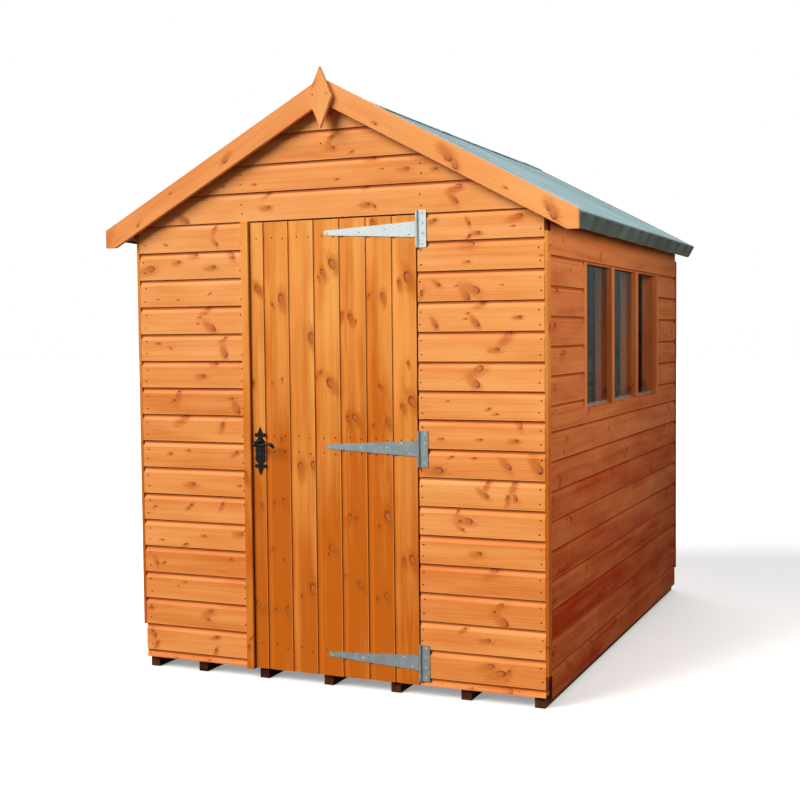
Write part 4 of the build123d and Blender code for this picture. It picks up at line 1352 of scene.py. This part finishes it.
def barrel(plate, x, y, z0, z1, radius, sides=28, ease_off=0.0008):
    """A rolled knuckle or a pin, its ends eased."""
    rings = ((z0, radius - ease_off), (z0 + ease_off, radius), (z1 - ease_off, radius), (z1, radius - ease_off))
    loft(plate, [[(*point, z) for point in arc(x, y, reach, sides)] for z, reach in rings])


def finish_plate(plate, name, finish, slot, *stands_for, body="door", angle=35):
    mesh = bpy.data.meshes.new(name)
    plate.to_mesh(mesh)
    plate.free()
    show(smoothed(mesh, angle), finish, slot, *stands_for, body=body)


KNUCKLE = 0.0055  # radius of the rolled knuckles
HINGE_PLATE = 0.0025
KNUCKLE_GAP = 0.0006
strap_tip, tip_corner, leaf_corner = 0.009, 0.004, 0.0015
straps, leaves = (sorted(solid_boxes(node), key=lambda pair: pair[0].z) for node in ("hinge_straps", "hinge_leaves"))
hinge_screws = Fixings("hinge screws")
leaf_screws = Fixings("leaf screws")
axis_y = front - KNUCKLE
pins = bmesh.new()
for name, (strap_low, strap_high), (leaf_low, leaf_high) in zip(("bottom", "middle", "top"), straps, leaves):
    middle = (strap_low.z + strap_high.z) / 2
    root = (strap_high.z - strap_low.z) / 2
    axis_x = strap_high.x - KNUCKLE
    tip_x = strap_low.x + tip_corner
    outline = [(axis_x, middle - root), (axis_x, middle + root)]
    outline += arc(tip_x, middle + strap_tip - tip_corner, tip_corner, 6, 90, 180)
    outline += arc(tip_x, middle - strap_tip + tip_corner, tip_corner, 6, 180, 270)
    strap = flat_plate(outline, front, front - HINGE_PLATE, 0.0007)
    barrel(strap, axis_x, axis_y, middle - root, middle + root, KNUCKLE)
    inner_x, notch_x = axis_x + KNUCKLE * 0.9, axis_x + KNUCKLE + 0.0008
    notch_low, notch_high = middle - root - 0.0008, middle + root + 0.0008
    outline = [
        (inner_x, leaf_low.z), (leaf_high.x - leaf_corner, leaf_low.z), (leaf_high.x, leaf_low.z + leaf_corner),
        (leaf_high.x, leaf_high.z - leaf_corner), (leaf_high.x - leaf_corner, leaf_high.z), (inner_x, leaf_high.z),
        (inner_x, notch_high), (notch_x, notch_high), (notch_x, notch_low), (inner_x, notch_low),
    ]
    leaf = flat_plate(outline, front, front - HINGE_PLATE, 0.0006)
    for z0, z1 in ((leaf_low.z, middle - root - KNUCKLE_GAP), (middle + root + KNUCKLE_GAP, leaf_high.z)):
        barrel(leaf, axis_x, axis_y, z0, z1, KNUCKLE)
        web = [(axis_x, z0), (axis_x + KNUCKLE, z0), (axis_x + KNUCKLE, z1), (axis_x, z1)]
        flat_plate(web, front, front - HINGE_PLATE, 0.0003, leaf)
    zinc_plate = bright_zinc if name == "top" else dull_zinc
    stands_for = (["hinge_straps"], ["hinge_leaves"]) if name == "bottom" else ((), ())
    finish_plate(strap, f"hinge_strap_{name}", zinc_plate, "galvanised_steel", *stands_for[0])
    finish_plate(leaf, f"hinge_leaf_{name}", zinc_plate, "galvanised_steel", *stands_for[1], body="shed")
    for x, z in ((-0.002, -0.003), (0.136, -0.002), (0.247, 0.003), (0.310, 0.018), (0.347, -0.018)):
        place = Vector((x, front - HINGE_PLATE, middle + z))
        hinge_screws.screw(place, -BACKWARD, 0.0042, 0.0009, hinge_screws.draw.uniform(0, 1.5))
    for z in (0.06, 0.022, -0.016, -0.056):
        place = Vector((axis_x + 0.0235, front - HINGE_PLATE, middle + z))
        leaf_screws.screw(place, -BACKWARD, 0.0044, 0.0009, leaf_screws.draw.uniform(0, 1.5))
    barrel(pins, axis_x, axis_y, leaf_low.z - 0.0016, leaf_high.z + 0.0016, 0.0034, 20, 0.0012)
hinge_screws.show("strap_screws", screw_steel, "door")
leaf_screws.show("leaf_screws", screw_steel)
finish_plate(pins, "hinge_pin_rods", dull_zinc, "galvanised_steel", "hinge_pins", body="shed")

# ---------------------------------------------------------------- lever handle
inner_plate_low, inner_plate_high = solid_boxes("handle_plates")[1]
spindle_low, spindle_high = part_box("lever_spindle")
lever_x = (spindle_low.x + spindle_high.x) / 2
lever_z = (spindle_low.z + spindle_high.z) / 2
door_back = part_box("door_ledges")[1].y
PLATE = 0.0034  # thickness of the lock plates
plate_face = front - PLATE


def flowing(corners, closed, cuts):
    """A flowing line through points, with that many points to each stretch between two corners."""
    corners = [Vector(corner) for corner in corners]
    count = len(corners)
    made = []
    for index in range(count if closed else count - 1):
        near = [index + k for k in (-1, 0, 1, 2)]
        p = [corners[n % count if closed else min(max(n, 0), count - 1)] for n in near]
        for cut in range(cuts):
            t = cut / cuts
            bend = 2 * p[0] - 5 * p[1] + 4 * p[2] - p[3]
            turn = 3 * p[1] - p[0] - 3 * p[2] + p[3]
            made.append(0.5 * (2 * p[1] + (p[2] - p[0]) * t + bend * t * t + turn * t * t * t))
    return made if closed else [*made, corners[-1]]


def by_lever(points_mm):
    """Points in X and Z given in mm from the spindle."""
    return [(lever_x + point[0] * MM, lever_z + point[1] * MM) for point in points_mm]


def round_by_lever(x_mm, z_mm, radius_mm, steps, tall_mm=None):
    tall = tall_mm and tall_mm * MM
    return arc(lever_x + x_mm * MM, lever_z + z_mm * MM, radius_mm * MM, steps, tall=tall)


def dome(plate, base, depth, steps=6):
    """A low cast boss on the plate's face, over an outline in X and Z."""
    middle = sum((Vector(p) for p in base), Vector((0, 0))) / len(base)
    rings = [[(x, plate_face + 0.0005, z) for x, z in base]]
    for step in range(steps + 1):
        share = step / steps
        reach = math.cos(share * math.pi / 2 * 0.97)
        y = plate_face - depth * math.sin(share * math.pi / 2)
        rings.append([(middle.x + (x - middle.x) * reach, y, middle.y + (z - middle.y) * reach) for x, z in base])
    loft(plate, rings)


half_outline_mm = (
    (0, 67), (3.5, 58), (8.5, 47), (11, 40), (14.5, 41), (19, 42), (24.5, 39.5), (26.4, 34), (24, 28.4), (18.5, 26),
    (13, 27.6), (8.6, 29.5), (8.4, 24), (12, 18), (19, 11), (23, 3), (22.6, -9), (19.6, -16), (21.6, -23), (23.6, -31),
    (20.4, -39), (19.4, -45), (22.4, -53), (23.4, -63), (20, -73), (11, -81), (7.4, -86), (13, -86.4), (19, -84.4),
    (25, -87.4), (26.4, -93), (23, -99), (17, -99.6), (12.4, -97), (10.6, -104), (7, -114), (3, -123), (0, -129),
)
half_shield_mm = ((0, 31), (5, 24), (13, 15), (19, 6), (20, -4), (15, -12), (0, -16))


def both_halves(half, cuts):
    """A flowing outline from its right half, which begins and ends on the middle line."""
    mirrored = [(-x, z) for x, z in reversed(half[1:-1])]
    return by_lever(flowing([(x, z, 0) for x, z in (*half, *mirrored)], True, cuts))


plate = flat_plate(both_halves(half_outline_mm, 3), front, plate_face, 0.0012)
dome(plate, both_halves(half_shield_mm, 4), 0.0075)
dome(plate, round_by_lever(0, -53, 8.5, 28, 12), 0.0028)
for tip, base in ((64, 38), (-126, -99)):
    shoulder = base + (tip - base) * 0.35
    dome(plate, by_lever(((0, tip), (3.6, shoulder), (0, base), (-3.6, shoulder))), 0.0016, 3)
for x in (-18.6, 18.6):
    for z in (34, -92):
        dome(plate, round_by_lever(x, z, 5.2, 20), 0.0016, 4)
finish_plate(plate, "outer_lock_plate", black_iron, "black_iron", "handle_plates", angle=40)

corner = 0.006
inner_outline = []
x0, x1 = inner_plate_low.x + corner, inner_plate_high.x - corner
z0, z1 = inner_plate_low.z + corner, inner_plate_high.z - corner
for begin, (x, z) in enumerate(((x1, z1), (x0, z1), (x0, z0), (x1, z0))):
    inner_outline += arc(x, z, corner, 5, 90 * begin, 90 * begin + 90)
plate = flat_plate(inner_outline, door_back, door_back + PLATE, 0.001)
finish_plate(plate, "inner_lock_plate", black_iron, "black_iron", angle=40)

# stations of the lever: (place along it, height, half its height there, half its depth), in mm
lever_mm = (
    (-12.3, 0, 1.0, 1.0), (-11.6, 0, 4.2, 4.2), (-9.4, 0, 8.0, 7.6), (-5, 0, 10.8, 10.2), (0, 0, 11.6, 11.0),
    (5, 0, 10.6, 10.2), (9.6, -0.6, 8.2, 8.2), (15, -1.8, 5.8, 6.2), (22, -2.8, 4.5, 5.2), (31, -2.4, 4.0, 4.8),
    (41, -0.4, 4.0, 4.8), (51, 1.6, 4.4, 5.0), (59, 1.8, 5.4, 5.4), (67, 0.2, 7.4, 5.8), (74, -2.8, 9.2, 5.8),
    (80, -6.0, 9.6, 5.2), (84.6, -8.6, 8.0, 4.2), (87.6, -10.6, 5.0, 3.0), (88.9, -11.6, 1.2, 1.0),
)
neck_mm = ((4, 10.5), (7, 10.0), (10, 8.0), (16, 6.8), (26, 6.6), (34, 7.4), (42, 8.6))
ARM_REACH = 0.045
for name, face_y, outward in (("outer_lever", front, -1), ("inner_lever", door_back, 1)):
    lever = bmesh.new()
    rings = []
    for x, z, tall, deep in flowing(lever_mm, False, 3):
        across = arc(face_y + outward * ARM_REACH, lever_z + z * MM, deep * MM, 24, tall=tall * MM)
        rings.append([(lever_x + x * MM, y, height) for y, height in across])
    loft(lever, rings)
    necks = [(face_y + outward * reach * MM, round_by_lever(0, 0, radius, 28)) for reach, radius in neck_mm]
    loft(lever, [[(x, y, z) for x, z in round_ring] for y, round_ring in necks])
    finish_plate(lever, f"{name}_arm", black_iron, "black_iron", name, body="door_lever", angle=60)

for node, finish in (("window_glass", clear_glass), ("lever_spindle", black_iron)):
    cad[node].data.materials.clear()
    cad[node].data.materials.append(finish)

# ---------------------------------------------------------------- floor, light and camera
FLOOR_REACH = 60
corners = [(x * FLOOR_REACH, y * FLOOR_REACH, 0) for x, y in ((-1, -1), (1, -1), (1, 1), (-1, 1))]
ground_mesh = new_mesh("studio_floor", corners, [(0, 1, 2, 3)])
ground = bpy.data.objects.new("studio_floor", ground_mesh)
bpy.context.scene.collection.objects.link(ground)
f = Finish("studio_floor")
seen = f.seen()
base = f.blend(seen, paint(70, 69, 67), paint(222, 222, 222))
glow = f.blend(seen, paint(0, 0, 0), paint(150, 150, 150))
ground_mesh.materials.append(f.done(base, 0.9, Specular_IOR_Level=0.0, Emission_Color=glow, Emission_Strength=1.0))

f = Finish("studio", bpy.data.worlds)
sky = f.node("ShaderNodeBackground", None, {"Color": (0.97, 0.985, 1.0, 1), "Strength": 0.1})
plain = f.node("ShaderNodeBackground", None, {"Color": (1, 1, 1, 1), "Strength": 1.0})
f.node("ShaderNodeOutputWorld", None, {"Surface": f.node("ShaderNodeMixShader", None, (f.seen(), sky, plain))})
bpy.context.scene.world = f.material


def light(name, kind, towards, energy, colour, place=(0, 0, 0), **settings):
    """A lamp that shines along a direction."""
    lamp = bpy.data.lights.new(name, kind)
    lamp.energy = energy
    lamp.color = colour
    for key, value in settings.items():
        setattr(lamp, key, value)
    holder = bpy.data.objects.new(name, lamp)
    holder.location = place
    holder.rotation_mode = "QUATERNION"
    holder.rotation_quaternion = Vector(towards).to_track_quat("-Z", "Y")
    holder.visible_camera = False
    bpy.context.scene.collection.objects.link(holder)


light("soft_key", "SUN", (0.53, 0.62, -0.56), 4.85, (1.0, 0.98, 0.94), angle=math.radians(38))
light("soft_back_light", "SUN", (0.1, -0.62, -0.78), 1.8, (0.96, 0.98, 1.0), angle=math.radians(60))
fill_place = Vector((3.1, -1.15, 2.2))
fill_run = Vector((0.9, 0.15, 0.35)) - fill_place
light("side_fill", "AREA", fill_run, 51, (1.0, 0.95, 0.88), fill_place, shape="SQUARE", size=1.8)

CAMERA_PLACE = (2.2483, -5.728, 1.413)
CAMERA_TURN, CAMERA_TIP, CAMERA_ROLL = (math.radians(degrees) for degrees in (23.25, -2.98, -0.56))
lens = bpy.data.cameras.new("camera")
lens.sensor_width = 36.0
lens.lens = 57.31
camera = bpy.data.objects.new("camera", lens)
bpy.context.scene.collection.objects.link(camera)
reach, rise = math.cos(CAMERA_TIP), math.sin(CAMERA_TIP)
ahead = Vector((-math.sin(CAMERA_TURN) * reach, math.cos(CAMERA_TURN) * reach, rise))
level = Vector((math.cos(CAMERA_TURN), math.sin(CAMERA_TURN), 0))
upright = level.cross(ahead)
across_view = level * math.cos(CAMERA_ROLL) + upright * math.sin(CAMERA_ROLL)
up_view = -level * math.sin(CAMERA_ROLL) + upright * math.cos(CAMERA_ROLL)
rows = zip(across_view, up_view, -ahead, CAMERA_PLACE)
camera.matrix_world = Matrix((*rows, (0, 0, 0, 1)))
bpy.context.scene.camera = camera
bpy.context.scene.view_settings.view_transform = "Standard"
